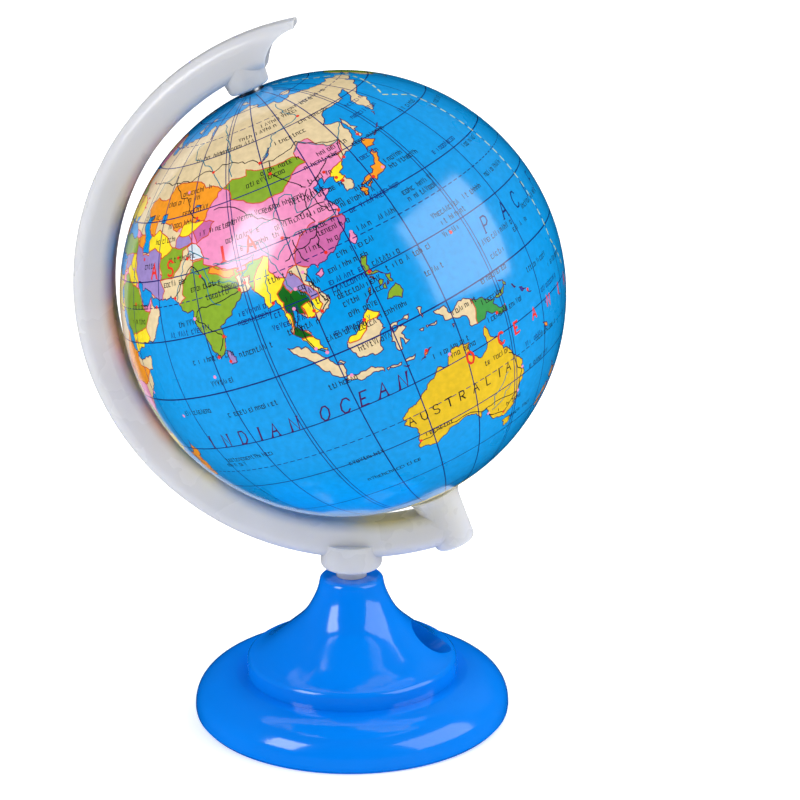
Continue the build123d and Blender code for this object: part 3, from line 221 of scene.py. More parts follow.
# Countries and blocks of countries. The first one a place lies in gives its colour, so only the
# earlier of two neighbours has to follow their shared border.
REGIONS = """
orange 80.1,28.8 81.2,30.3 84.2,28.8 88.1,27.9 88.1,26.4 84.6,26.6
pink 88.8,27.2 91.9,27.8 91.9,26.8 89,26.7
tan 88.2,25.8 89.9,26.2 89.9,25.2 92.2,25 91.4,23.3 92.3,21 91,20.5 89,20.9 88.6,24
tan 56.1,26.8 56.2,24.8 55.2,22.7 52,19 53.1,16.4 55,15.5 61,20 60.5,24 57,26.8
pink 51.5,24.6 51.5,24 52.6,22.9 55.2,22.7 56.2,24.8 56.1,26.8 54,25.5
pink 50.7,24.6 52,24.6 52,26.6 50.7,26.6
yellow 42.4,16.5 44,17.4 48.8,18.2 52,19 53.1,16.4 52,13 45,11.9 42,12.6
pink 46.6,29.1 48.8,28.4 48.5,30 47.7,30.1
yellow 38.8,33.4 41.2,34.5 42.4,37.1 44.8,37.2 45.4,36 46.1,33.1 47.9,31 48.8,29.8 47.7,30.1 46.6,29.1
  44.7,29.2 40.4,31.9 39.2,32.2
pink 35.5,32.6 38.8,33.4 39.2,32.2 37,31.5 37.9,30.4 36,29.2 34.8,29.1 35.4,31
orange 34.2,31 35,34 35.8,34.8 36.5,34.4 35.6,32.7 35.5,31 34.9,29.3
purple 35.4,36 36.7,36.8 42.4,37.1 41.2,34.5 38.8,33.4 35.6,32.6 36.4,34.5
green 25,38 25,40.5 26.5,42 28.4,42.1 31,42.4 35,43 38,42 41.5,41.6 43.5,41 44.8,39.7 44.8,37.2 42.4,37.1
  36.7,36.8 36,35.6 30,35.5 26,36
pink 41.3,41.5 39.8,43.4 43.8,42.7 46.5,41.9 45,41.3 43.5,41.1
yellow 43.5,41.1 45,41.3 45.6,40.1 46.5,38.9 44.8,39.7
orange 46.5,41.9 48.8,41.9 51,40.4 48.9,38.4 46.5,38.9 45.6,40.1 45,41.3
yellow 53.9,37.3 52,41.9 55.5,41.3 58.5,42.7 61.9,41.1 66.5,37.4 64.5,36.2 61.2,35.3 61.1,36.5 57.2,38.2
purple 44.8,39.7 48,39.6 48.9,38.4 50,36.8 53.9,36.5 53.9,37.3 57.2,38.2 61.1,36.5 60.6,34 60.9,31.5 61.8,31
  60.9,29.8 62.8,27.2 61.6,24.6 57,25 56.5,26.9 54,26 50.2,28.6 48.8,29.8 47.9,31 46.1,33.1 45.4,36
  44.8,37.2
yellow 69.5,40 71,42.5 74,43.2 80.2,42.2 76.5,40.4 73.7,39.5 71,39.5
purple 67.8,37.2 68,39 70.5,40.8 69.5,40 71,39.5 73.7,39.5 75,37.4 71.5,36.8
tan 56,41.3 56,45 58.6,45.6 61,44.3 64.9,43.7 66.1,42 68,41.2 71,42.5 69.5,40 70.5,40.8 68,39 67.8,37.2
  66.5,37.4 61.9,41.1 58.5,42.7
white 73.3,36.6 75,37.2 78,35.6 79.2,32.9 76.4,32.9 74.2,33.2
green 61.2,35.3 64.5,36.2 66.5,37.4 71.5,37.9 75,37.4 71.2,36 71,34 69.3,31.9 66.4,29.8 60.9,29.8 61.8,31
  60.6,34
tan 61.6,24.6 62.8,27.2 60.9,29.8 66.4,29.8 69.3,31.9 71,34 71.2,36 75,37.4 74.2,33.2 75,32.3 73.5,30
  70.5,28 70,25.4 71,24.5 68.2,23.2
green 68.2,23.2 71,24.5 70,25.4 70.5,28 73.5,30 75,32.3 79.2,32.9 78.8,31.2 81.2,30.3 88.1,27.9 91.9,27.8
  97.4,28.3 94.8,25.8 93.3,24 92.5,21.6 87,19 81,13 80,8 77,7 73,14 71.5,20 68,22
dusk 105,23.5 105.8,26.5 108,28.5 112,30.8 118,30.5 123,30 120,24 113,21 110,20.8 107,22
dusk 75.5,40 80,42 84,41 81.5,38 77,36.8
green 87.8,49.1 92,50.8 98,50.2 98.3,52 102.3,50.5 107,49.9 113,49.6 116.7,49.9 119.9,46.7 116,46.4
  111.8,43.7 105,41.6 96.5,42.7 90.9,45.2 91,46.9
pink 73.7,39.5 75,37.4 78,35.5 79.2,32.9 78.8,31.2 81.2,30.3 85,28.3 88.8,27.9 91.9,27.8 97.4,28.3 98.7,27.5
  97.6,24.5 99.2,22 101.2,21.3 102.2,22.4 105.3,23.2 106.8,22 108.2,21.3 110,19.8 112,20.5 118,23 123,29
  123,33 123.3,37.5 121.5,38.4 124.3,39.8 126.5,41.7 128.2,42 130.7,42.5 131,44.9 133.2,45.1 134.8,48.3
  131,47.7 127.5,49.8 125.7,53.1 121,53.3 117.8,49.5 119.9,46.7 116,46.4 111.8,43.7 105,41.6 96.5,42.7
  90.9,45.2 91,46.9 87.8,49.1 85.5,47.2 82.5,45.4 80.2,42.2 76.5,40.4
orange 46.6,48.5 47.5,50.4 51,51.6 55,50.6 59.5,50.7 61,52.7 61.5,54 65.5,54.6 71,54.2 77,53.3 80,51
  83.5,50.9 87.8,49.1 85.5,47.2 82.5,45.4 80.2,42.2 74,43.2 71,42.5 68,41.2 66.1,42 64.9,43.7 61,44.3
  58.6,45.6 56,45 56,41.3 52,41.9 50.5,44 49.5,46
yellow 124.3,39.8 126.5,41.7 128.2,42 130.7,42.5 131,41.5 128.6,38.6 126.7,37.8 124.3,37.6
yellow 92.3,20.6 92.6,22 93.3,24 94.8,25.8 97.4,28.3 98.7,27.5 97.6,24.5 99.2,22 101.2,21.3 100.1,20.3
  97.8,18.5 98.6,16 98.2,15 99.2,12.5 98.8,9.8 97,12 95,15 93.5,17
purple 100.1,20.3 101.2,21.3 102.2,22.4 104.5,20.2 104.8,19 107.4,15.5 107.5,14.4 105.4,14.2 104.7,16.5
  102.5,18 101.2,17.6
deep 97.8,18.5 100.1,20.3 101.2,17.6 102.5,18 104.7,16.5 105.4,14.2 102.4,13.6 102.9,11.5 101,12 100.6,9
  102.2,6 100.2,6.4 97.5,7.5 98.8,9.8 99.2,12.5 98.2,15 98.6,16
yellow 102.4,13.6 105.4,14.2 107.5,14.4 107.5,12.3 106,11 104.5,10.4 102.9,10.5
yellow 99.8,6.7 102.4,6.3 104.8,3 104.5,1 101,2.2 99.6,5
tan 30,70 60,60 50,50 140,50 200,60 200,75 30,80
green 34.9,29.3 36,29.2 37.9,30.4 37,31.5 39.2,32.2 40.4,31.9 44.7,29.2 46.6,29.1 48.8,28.4 50.5,26 51,24.5
  52.6,22.9 55.2,22.7 52,19 48.8,18.2 44,17.4 42.4,16.5 40,19 34,27
# Europe
pink -9.9,36.5 -7.4,37 -6.9,41.9 -9.3,42
orange -10,44.2 -1.8,43.4 3.3,42.4 4,41 0,37 -2,36 -6,35.9 -7.4,37 -6.9,41.9 -9.3,42
green -5.5,48.5 1.5,51.2 8,49 7.5,47.5 6.8,46 7.6,43.6 3.3,42.4 -1.8,43.4
tan 2,51.2 4,54 7,53.4 6.2,50.3 5.8,49.6
yellow 6.2,50.3 7,53.9 9,54.9 14.3,54.4 15,51 12.5,50.2 13.5,48.6 9.6,47.5 7.6,47.6 8,49 5.8,49.6
orange 8,54.8 7.5,57.7 11,58 12.6,55.6 11,54.5 9.5,54.9
pink 7,43.6 6.8,46 10.5,46.7 13.6,46.5 13.7,45.5 13,44.2 19.5,40 16,37 11.5,41.5
purple 6.8,46 7.6,47.6 13.5,48.6 12.5,50.2 15,51 18.8,49.5 17,47.8 16.2,46.7 10.5,46.7
pink 14.3,54.4 15,51 18.8,49.5 22.8,49.2 24,51 23.5,54 18.6,55
tan 16.2,46.7 17,47.8 22.9,48.2 21.3,46.2 18.8,45.9
yellow 20.3,46.2 22.9,48.2 27,48.2 28.2,45.6 29.9,45 28.8,43.7 22.7,44.2
orange 22.7,44.2 28.8,43.7 28.2,42 23,41.4 22.4,42.4
pink 19.8,39.6 21,41 23,41.4 26.3,41.2 26,40 24.5,36 21,36
green 13,45 16.2,46.7 21.3,46.2 22.7,44.2 22.4,42.4 21,41 19,41.6
yellow 22.2,48.3 24,51.5 31,52 34,52.2 40,49.8 38.3,47 36,44 30,44 28.2,45.6 27,48.2
green 23.5,52 24,54 28,56 32.5,53.3 31,52 24,51.5
orange 20,55 20.5,57.8 23,59.6 28,59.7 28,56 24,54
tan 30,70 30.5,67 31.3,62.7 27.5,60.3 28,56 32.5,53.3 31,52 34,52.2 40,49.8 38.3,47 40,43 48,41 60,50 60,72
pink 21,59.6 20.2,63 24,66 21,69 28,70.2 30,68 31.3,62.7 27.5,60.3
yellow 11.4,59 12.5,63.5 15.5,67.5 20.5,69.2 24,66 18.5,62 20,59 16,55 12.5,55
orange 3,57 3,62 13,68.5 25,72 31.5,70.5 28,70.2 20.5,69.2 15.5,67.5 12.5,63.5 11.4,59
# Africa
pink -13.5,27.7 -8.7,27.6 -5,29.8 -1.2,32.3 -2,35.6 -6,36.2 -10.5,32
green 8.5,37.6 11.8,37.4 11.7,33.2 9.5,30.2 7.5,33.5
orange -8.7,27.6 -5,29.8 -1.2,32.3 -2,35.6 8.5,37.6 7.5,33.5 9.5,30.2 10,26.5 12,23.5 3.2,19.2 -4.8,25
purple 9.5,30.2 11.7,33.2 20,33 25,32.3 25,20 15,23 12,23.5 10,26.5
yellow 25,32.3 34.4,31.6 35,29.4 34.5,27 37.5,22 25,22
tan 22,11 22.3,15.7 24,15.7 25,22 37.5,22 38.6,18 36.4,14.5 34,9.5 35.9,4.6 30.8,3.6 24.2,8.7
orange 36.4,14.5 38.6,18 43.5,12.4 42.4,11 43,9.2 48,8 45,5 41.9,3.9 35.9,4.6 34,9.5
tan 42.4,11 43.5,12.4 52,12.4 51,7 41.5,-2.5 41,-0.8 41.9,3.9 45,5 48,8 43,9.2
pink 34,-1 34.5,4.3 35.9,4.6 41.9,3.9 41,-0.8 41.5,-2.5 39.3,-5.2
yellow 29.6,-1 34,-1 34.5,4.3 30.8,3.6
green 34,-1 39.3,-5.2 41,-10.6 34.5,-11.5 31,-8.5 29.3,-5 30.7,-1
purple 11.8,-6 16.5,-5.9 17.5,-8 22,-7.5 22,-11 29,-13.4 28.5,-9 30.8,-8.3 29.3,-4 29.6,0.5 30.8,3.6 27.4,5
  18.5,4.7 16,-3
orange 11.8,-6 16.5,-5.9 17.5,-8 22,-7.5 22,-11 24,-11 22.5,-17.6 11,-17.3
green 24,-11 22.3,-16.2 25.3,-17.8 33,-14 33.2,-9.5 30.8,-8.3 28.5,-9 29,-13.4
yellow 41,-10.6 42,-15 36,-20 36.5,-24.5 32.8,-26.9 31.3,-22.4 33,-16.5 30.3,-15.5 34.5,-11.5
pink 25.3,-17.8 30.3,-15.5 33,-16.5 31.3,-22.4 27,-21.5
tan 20,-22 21,-18.3 25.3,-17.8 29.4,-22.2 25.5,-25.7 20,-26.8
green 11,-17.3 25,-17.6 21,-18.3 20,-22 20,-28.4 16,-28.6
yellow 15,-28.6 20,-28.4 20,-26.8 25.5,-25.7 29.4,-22.2 31.3,-22.4 32.8,-26.9 34,-28 28,-35 18,-36
green 8.5,4 13,11.5 15,10 15.8,3 9,2
yellow 8,2 15.8,3 18.5,4.7 16,-3 11.5,-5.5 7.5,-1
pink 15.3,4.5 15.4,7.7 22,11 27.4,5 18.5,4.7
orange 14,13 15,23 25,19.5 22.3,15.7 22,11 15.4,7.7 15,10
green 0.5,15 4.2,17 3.2,19.2 12,23.5 15,23 14,13.4 4,13
yellow 2.7,5.8 4,13 14,13.4 13,11.3 8.7,4 6,3.6
pink -12,15 -5.5,15.5 -4.8,25 3.2,19.2 4.2,17 0.5,15 -5,11 -11.5,12.3
yellow -17.6,21.3 -13,21.3 -12.5,23.4 -8.7,27.6 -4.8,25 -5.5,15.5 -12,15 -17,16.2
green -18,16 -12,15 -11.5,12.3 -8.3,10 -7.6,4 -14,8
orange -8.3,10.3 -2.8,9.8 -3,4.6 -7.6,4
pink -2.8,11 2.7,12 2.7,5.8 -3,4.6
# the Americas
green -169,73 -141,72 -141,60.3 -137,58.9 -130,56 -132,54 -165,53 -170,62
green -126,48.5 -123,49 -95,49 -89.5,48 -82.5,45.5 -82.5,42 -79,43 -76.5,44.2 -71.3,45.2 -69,47.4 -67.2,45
  -66,43 -73,39 -74,34 -79,25 -82,24 -96,25.8 -99.5,27.5 -101.5,29.8 -104.5,29.6 -106.5,31.8 -111,31.3
  -114.8,32.5 -118,32.5 -126,40
yellow -118,32.5 -114.8,32.5 -111,31.3 -106.5,31.8 -104.5,29.6 -101.5,29.8 -99.5,27.5 -96,25.8 -94,20 -86,22
  -88.2,18.2 -91,17.3 -92.3,14.3 -105,16 -117,27
pink -92.3,14.3 -91,17.3 -88.2,18.2 -88.3,15.7 -89.3,14.4 -90,13
purple -90,13 -89.3,14.4 -88.3,16.5 -83,15.9 -83,15 -86.5,13.8 -87.6,12.5
orange -87.6,12.5 -86.5,13.8 -83,15 -83,10.9 -86,11
green -86,11 -83,10.9 -77,9.5 -77.5,7 -83,7.5
orange -77.5,7 -77,9.5 -74,12 -71.3,12.6 -72.5,8 -67.5,6 -67,1.5 -70,-4.2 -75,-0.2 -79,1.6
pink -71.3,12.6 -60,11 -60,8.5 -61,4.5 -64,2 -67,1.5 -67.5,6 -72.5,8
yellow -60,8.5 -51,5 -52,2.4 -59,1.5 -61,4.5
tan -79,1.6 -75,-0.2 -80,-4.7 -82,-3
pink -82,-4 -80,-4.7 -75,-0.2 -70,-4.2 -73,-8 -69,-11 -69.5,-17.5 -71,-19 -78,-15
yellow -69,-11 -65,-10 -60.5,-14 -58,-17 -58,-20 -62,-19.5 -62.7,-22.2 -67.5,-22.8 -69.5,-17.5
orange -58,-20 -57.8,-22.2 -54.5,-24.5 -58.5,-27.3 -62.7,-22.2 -62,-19.5
purple -58,-30 -53.3,-33.6 -54,-36 -59,-34.5
tan -69.5,-17.5 -67.5,-22.8 -70,-30 -70,-36 -72,-42 -72.5,-50 -68.5,-52.5 -68.5,-56.5 -77,-52 -75,-35
  -72,-17
orange -67.5,-22.8 -62.7,-22.2 -58.5,-27.3 -54.5,-25.5 -58,-30 -59,-34.5 -56,-37 -60,-45 -64,-56 -68.5,-56.5
  -68.5,-52.5 -72.5,-50 -72,-42 -70,-36 -70,-30
# the shared islands
yellow 109,2.4 109.6,1.2 111.5,1 114.5,2.5 115.6,4.3 117.9,4.2 120,5 117,8 114,6 111,4
moss 141,-1 141,-10 146,-12 152,-12 149,-5 144,-2
"""

RIVERS = """
river 91,33 97,32 99,28 101,26 104,28.7 108,30.5 112,30 116,30 121,31.8
river 96,35 100,36 103.5,36 107,40.5 111,40 110.5,35 114,35 118.5,37.5
river 82,30.5 90,29.3 95,29.5 94,27.5 90,25.5 90,23
river 78.5,30.5 80,26.5 84,25.5 88,24.5 90,23
river 81,32 77,34 74,35.5 71.5,33 70.5,29 68,26 67.5,24
river 98,32 99,26 101,21.5 102,18 105,15 105.5,12 106.5,10
river 97,25 96,21 95.5,17
river 88,49 84,53.5 82,56 76,59 69,61 66.5,64 69.5,66.5
river 92,51.5 92.5,56 90,60 87.5,65 85,69 83,71.5
river 106,53.5 113,59.5 120,60.5 129,62 125,66 126,71.5
river 118,51 122,53.5 127,50 131,48 135,48.5 138.5,51.5 141,53.2
river 57,57.5 50,55.5 48.5,51 45,48.5 48,46.3
river 74,31 79,25.5 80.5,21 82,20.5
river 38.5,39 38.5,36 42,34 46,31 48,30
river 31,31 31,26 33,22 31.5,18 33,15 31,9 32,3
river 148,-30 144,-33.5 140,-34.5
river 147,-26 144,-29 141,-33.5
river -70,-4 -66,-3 -60,-3 -55,-2 -51,-0.5
river -112,46 -104,47 -97,43 -90,38.8 -91,34 -91,30
river 25,-4 24,1 18.5,0.5 16,-3 13,-6
"""
RAILS = """
rail 37.5,55.8 49,55.8 61,55 73,55 83,55 92.5,56 104,52.3 108,51.8 114,52 121,54 127,50.5 135,48.5 132,43.3
rail 108,51.8 107,48 112,43.5 116.5,40 117,36.5 119,32 121.3,31.2
rail 116.5,40 121,41.5 125.5,44 126.5,45.8 131.5,44.5
rail 116.5,40 114.5,38 113.7,34.8 114.3,30.6 113,28 113.3,23.2
rail 84,44 88,43.8 95,40.5 103.8,36 108.9,34.3 113.7,34.8 119,34.6
rail 102.7,25 106.7,26.6 109.5,26.5 113,28
rail 103.8,30.6 106.5,29.5 106.7,26.6 108.3,22.8
rail 77.2,28.6 79,25.5 82,25.5 88.4,22.6
rail 72.9,19 76,21.3 79,21.2 85,21.8 88.4,22.6
rail 72.9,19 77.5,15 80.3,13.1 78,10
rail 67,25 70.5,28.5 74.3,31.6 77.2,28.6
rail 100.5,13.8 99.8,10 100.5,6 101.6,3.2 103.8,1.4
rail 106.7,10.8 109.1,12.5 108,16 105.8,21
rail 116,-32 121.5,-31 131,-31 136,-33 141,-32.5 147,-33.5 151,-33.8
rail 138.6,-35 143,-37 145,-37.8 148,-35.5 151,-33.8 152.8,-28 148,-21
rail 60.6,56.8 66,52 71,49.8 73,46 77,43.3
"""
CITIES = """
116.4,39.9 121.4,31.2 113.3,23.1 114.3,30.6 106.5,29.6 123.4,41.8 126.6,45.8 104,30.6 108.9,34.3 139.8,35.7
135.5,34.7 127,37.5 125.8,39 106.9,47.9 121,14.6 105.9,21 106.7,10.8 104.9,11.6 102.6,18 100.5,13.8
96.1,16.8 90.4,23.7 88.4,22.6 77.2,28.6 72.9,19 80.3,13.1 77,8.6 79.9,6.9 73,33.7 67,24.9 69.2,34.5
51.4,35.7 69.3,41.3 71.4,51.2 77,43.3 101.7,3.1 103.8,1.3 106.8,-6.2 115,4.9 125.6,-8.6 130.8,-12.4
115.9,-31.9 138.6,-34.9 145,-37.8 151.2,-33.9 153,-27.5 147.2,-9.5 160,-9.4 144.8,13.5 73.5,4.2 55.5,-4.6
46.7,24.7 58.6,23.6 44.2,15.4 44.4,33.3 45.3,2 36.8,-1.3 47.5,-18.9 131.9,43.1 142,47 129.7,62 121.5,25
83,55 104.3,52.3 31.2,30 37.6,55.8 28,-26 18.4,-33.9 3.4,6.5 2.3,48.9 -0.1,51.5 -3.7,40.4 12.5,41.9
13.4,52.5 -58.4,-34.6 -43.2,-22.9 -77,-12 -74,4.6 -99.1,19.4 -77,38.9 -74,40.7 -87.6,41.9 -118.2,34
-122.4,37.8 -79.4,43.7 -123.1,49.3 174.8,-41.3
"""
# Short rows of marks stand where the small place names are printed: longitude, latitude and the
# length of the row. Names of seas are marked so, because they are printed in blue.
SMALL_NAMES = """
115.5,20.8,9 112,18.2,9 123.5,24.4,10 122.6,31.4,8 124,29.2,9,sea 111,15.6,8,sea 111,13.8,9,sea
111.5,11.8,10 112,9.6,9 122.6,15.4,6 125,12.9,11 133,7.4,5 141.8,36.2,5 141.8,34.2,8 139.5,26.9,9
139.8,24.8,8 142.5,18.3,16 144,16,7 142.5,13.2,5 150.5,6.6,12 152,2.6,5 162,-5.8,10 146,-1.2,8
133.5,40,6,sea 137.5,44.5,9 146.6,51.8,8,sea 150.8,56,6,sea 82.9,7.2,9 68.4,8.2,11 66.8,17.8,6
63,15.6,12,sea 85.5,16.4,7,sea 85.5,14.4,8,sea 94.4,13.4,6,sea 93.8,10.6,8,sea 71.6,2,6 72,-6.6,13 57,-4.4,9
60,-19.8,14 57.5,-21.6,7 92.5,-30.4,10 94.8,-38.6,13 100.5,-7.6,6 107.4,4.2,8,sea 112.2,6.9,6 104.9,3.6,9
126.8,-11.6,9 144,-10.6,11 131,-13.6,6 139.6,-20.5,8 118,-31.2,6 142.6,-36.4,7 147.8,-41.8,8 155,-22.8,9,sea
156.5,-29.6,8 166,-12.8,9,sea 160.5,-23.6,10 166.5,19.4,9 168.8,28.2,8 172,7.4,13 163.6,4.6,7 164,45.6,9
178,41,10 173,-8.8,9 95.6,21.4,6 99.6,15.8,6 103.4,17.3,5 104.2,12.8,7 77,22.6,7 73.4,25.4,8 83.4,23.6,7
62.8,28,7 52.4,33.2,5 65.2,33.6,8 57.6,39,7 63.6,42.4,8 60.8,48.4,10 68.4,50.4,8 70,45,8 97.4,46.6,9
103.6,48.4,9 78.4,38.4,9 88.8,38.6,11 101.6,38.2,9 87.4,34.4,8 91.6,31.4,9 103,33,8 109.6,37.4,8
113.6,40.6,8 114.8,36.4,8 112.8,32.8,8 108.6,29.2,8 113.4,27.4,7 108.8,24.8,7 118.6,44.6,8 123.6,46.6,8
84,60,9 96,62,9 110,64,9 124,65.6,9 138,66,8 127.4,59,8 113,55.6,7 70,60,8 46,45.6,6 44.8,23.4,9 43,19.8,7
111,-1.6,7 112,3,5 119,3.6,6 143,-5.8,7 135.4,-4,6 96.8,8.4,7 157,31.5,9,sea 128.6,33.4,5 131,29.6,7,sea
-30,40,9,sea -40,20,9,sea -20,-20,9,sea -100,40,10 -100,60,8 -55,-10,8 -120,-20,10,sea -150,20,9,sea
-145,0,8,sea 15,25,8 20,5,8 22,-25,8 -65,-35,8
"""

GLYPHS = {
    "A": "0,0 .5,1 1,0|.2,.4 .8,.4",
    "C": ".95,.8 .7,1 .3,1 0,.7 0,.3 .3,0 .7,0 .95,.2",
    "D": ".08,0 .08,1 .6,1 .95,.7 .95,.3 .6,0 .08,0",
    "E": ".85,0 .08,0 .08,1 .85,1|.08,.5 .65,.5",
    "F": ".08,0 .08,1 .85,1|.08,.5 .65,.5",
    "I": ".5,0 .5,1",
    "L": ".1,1 .1,0 .8,0",
    "M": "0,0 .1,1 .5,.35 .9,1 1,0",
    "N": "0,0 0,1 .9,0 .9,1",
    "O": ".3,0 0,.3 0,.7 .3,1 .65,1 .95,.7 .95,.3 .65,0 .3,0",
    "P": ".08,0 .08,1 .6,1 .85,.85 .85,.6 .6,.45 .08,.45",
    "R": ".08,0 .08,1 .6,1 .85,.85 .85,.6 .6,.45 .08,.45|.4,.45 .9,0",
    "S": ".9,.85 .65,1 .25,1 .03,.8 .15,.57 .75,.45 .92,.22 .7,0 .25,0 0,.15",
    "T": ".5,0 .5,1|0,1 1,1",
    "U": "0,1 0,.3 .25,0 .65,0 .9,.3 .9,1",
}
# Only the general names of oceans and continents are lettered: text, ink, latitude of the line it
# stands on, height and stroke in degrees, slant, serifs, and the longitude of each letter.
GREAT_NAMES = [
    (
        "INDIANOCEAN", "plum", -14.8, 3.7, 0.42, 0.25, True,
        (58.5, 64.5, 70.5, 76, 80.5, 86.5, 95, 100.5, 105.5, 110.5, 116),
    ),
    ("PACIFIC", "navy", 8.6, 3.9, 0.42, 0.2, True, (154, 162.5, 169.5, 177.5, 187, 195, 203)),
    ("OCEAN", "navy", -6, 3.9, 0.42, 0.2, True, (211, 218, 225, 232, 239)),
    ("ATLANTIC", "plum", 18, 3.7, 0.42, 0.2, True, (-62, -57, -52, -47, -42, -37, -32, -27)),
    ("OCEAN", "plum", 8, 3.7, 0.42, 0.2, True, (-48, -42, -36, -30, -24)),
    ("ASIA", "red", 30.6, 3.6, 0.6, 0, False, (56.5, 64.5, 84.5, 93.5)),
    ("OCEANIA", "red", -17.6, 3, 0.6, 0, False, (135, 145.5, 151.5, 159.5, 168, 176, 184)),
    (
        "AUSTRALIA", "black", -26, 2.7, 0.3, 0, False,
        (114.6, 118.4, 122, 126, 130, 134.4, 138.8, 142.8, 146.2),
    ),
    ("AFRICA", "red", 6, 4, 0.62, 0, False, (-4, 4, 12, 19, 25, 32)),
    ("EUROPE", "red", 49, 2.6, 0.4, 0, False, (-2, 6, 14, 22, 31, 39)),
    ("AMERICA", "red", 42, 4, 0.62, 0, False, (-122, -113, -105, -97, -91, -85, -79)),
    ("AMERICA", "red", -10, 4, 0.62, 0, False, (-74, -69, -64, -59, -54, -51, -47)),
]

# ---------------------------------------------------------------- the map, made into a mesh

SPIN = next(j for j in frame["joints"] if j["name"] == "globe_spin")
GLOBE_CENTRE = np.array(SPIN["pos_m"], float)
POLE_AXIS = np.array(SPIN["axis"], float)
ZERO_SIDE = np.cross((0.0, 1.0, 0.0), POLE_AXIS)
ZERO_SIDE = ZERO_SIDE / np.linalg.norm(ZERO_SIDE)
NINETY_SIDE = np.cross(POLE_AXIS, ZERO_SIDE)
LONGITUDE_AT_ZERO_SIDE = 192.4
GORES = 6
GORE_BOXES = [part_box(f"map_gore_{n}") for n in range(1, GORES + 1)]
GLOBE_RADIUS = (max(b[1].y for b in GORE_BOXES) - min(b[0].y for b in GORE_BOXES)) / 2
WEST, EAST, GORE_SPAN = -150, 210, 60
MAP_TOP = 86.5  # the printed paper stops short of the poles, at the holes for the pins
GRID = 2.5  # spacing of the loose points that keep the triangles small enough to look round
SEAM_POINTS = 71
ALL_TRIANGLES, MERGE_WITHIN = 0, 1e-5
MM = 180 / (math.pi * GLOBE_RADIUS * 1000)  # degrees along a meridian that one millimetre covers


def on_globe(lon, lat):
    """Unit vectors from the ball's centre to these places."""
    turn = np.radians(lon - LONGITUDE_AT_ZERO_SIDE)
    up = np.radians(lat)
    flat = np.cos(up)[:, None]
    return (
        flat * np.cos(turn)[:, None] * ZERO_SIDE
        + flat * np.sin(turn)[:, None] * NINETY_SIDE
        + np.sin(up)[:, None] * POLE_AXIS
    )


def read(text):
    return [tuple(float(x) for x in pair.split(",")) for pair in text.split()]


def rows(table):
    """The (first word, points) rows of a table, without its remarks."""
    found = []
    for line in table.strip().splitlines():
        if line.startswith("#"):
            continue
        if line.startswith(" "):
            found[-1][1].extend(read(line))
        else:
            word, points = line.split(" ", 1)
            found.append((word, read(points)))
    return found


def between(a, b, share):
    """The point at this share of the way from a to b."""
    return (a[0] + (b[0] - a[0]) * share, a[1] + (b[1] - a[1]) * share)


def squeeze(lat):
    """How much shorter a degree of longitude is than a degree of latitude."""
    return max(0.04, math.cos(math.radians(lat)))


def rough(a, b, step, wobble):
    """Points from a up to b, b left out, on a ragged line that is the same from either end."""
    swapped = a > b
    if swapped:
        a, b = b, a
    tenths = [round(10 * value) for value in (*a, *b)]
    dice = random.Random(sum(value * weight for value, weight in zip(tenths, (7919, 104729, 31, 1))))
    line = [a, b]
    length = math.hypot((b[0] - a[0]) * squeeze((a[1] + b[1]) / 2), b[1] - a[1])
    while length > step:
        finer = []
        for p, q in zip(line, line[1:]):
            sideways = dice.gauss(0, wobble)
            shrink = squeeze((p[1] + q[1]) / 2)
            middle = (
                (p[0] + q[0]) / 2 - (q[1] - p[1]) * sideways / shrink,
                (p[1] + q[1]) / 2 + (q[0] - p[0]) * shrink * sideways,
            )
            finer += [p, middle]
        line = finer + [b]
        length /= 2
    if swapped:
        line.reverse()
    return line[:-1]


def closed(points, step, wobble):
    ring = []
    for a, b in zip(points, points[1:] + points[:1]):
        ring += rough(a, b, step, wobble)
    return ring


def copies(ring):
    """The outline moved by whole turns to wherever it meets the sheet."""
    lons = [p[0] for p in ring]
    for turn in (-360, 0, 360):
        if max(lons) + turn > WEST and min(lons) + turn < EAST:
            yield np.array([(p[0] + turn, p[1]) for p in ring])


COAST_STEP, BORDER_STEP = 0.7, 1.2
COAST_WOBBLE, LAKE_WOBBLE, BORDER_WOBBLE = 0.13, 0.07, 0.07
shapes = []  # (outline, colour, kind)
for table, kind, step, wobble in (
    (MAINLANDS, "mainland", COAST_STEP, COAST_WOBBLE),
    (ISLANDS, "island", COAST_STEP, COAST_WOBBLE),
    (LAKES, "lake", COAST_STEP, LAKE_WOBBLE),
    (REGIONS, "region", BORDER_STEP, BORDER_WOBBLE),
):
    for colour, outline in rows(table):
        for ring in copies(closed(outline, step, wobble)):
            shapes.append((ring, colour, kind))


def inside(ring, points):
    """Which of the points lie in the outline, by the even-odd rule."""
    hit = np.zeros(len(points), bool)
    near = np.flatnonzero(
        (points[:, 0] > ring[:, 0].min())
        & (points[:, 0] < ring[:, 0].max())
        & (points[:, 1] > ring[:, 1].min())
        & (points[:, 1] < ring[:, 1].max())
    )
    if len(near) == 0:
        return hit
    x, y = points[near, 0][:, None], points[near, 1][:, None]
    x0, y0 = ring[:, 0], ring[:, 1]
    x1, y1 = np.roll(x0, -1), np.roll(y0, -1)
    rise = np.where(y1 == y0, 1e-12, y1 - y0)
    crossed = ((y0 > y) != (y1 > y)) & (x < (x1 - x0) * (y - y0) / rise + x0)
    hit[near] = crossed.sum(1) % 2 == 1
    return hit


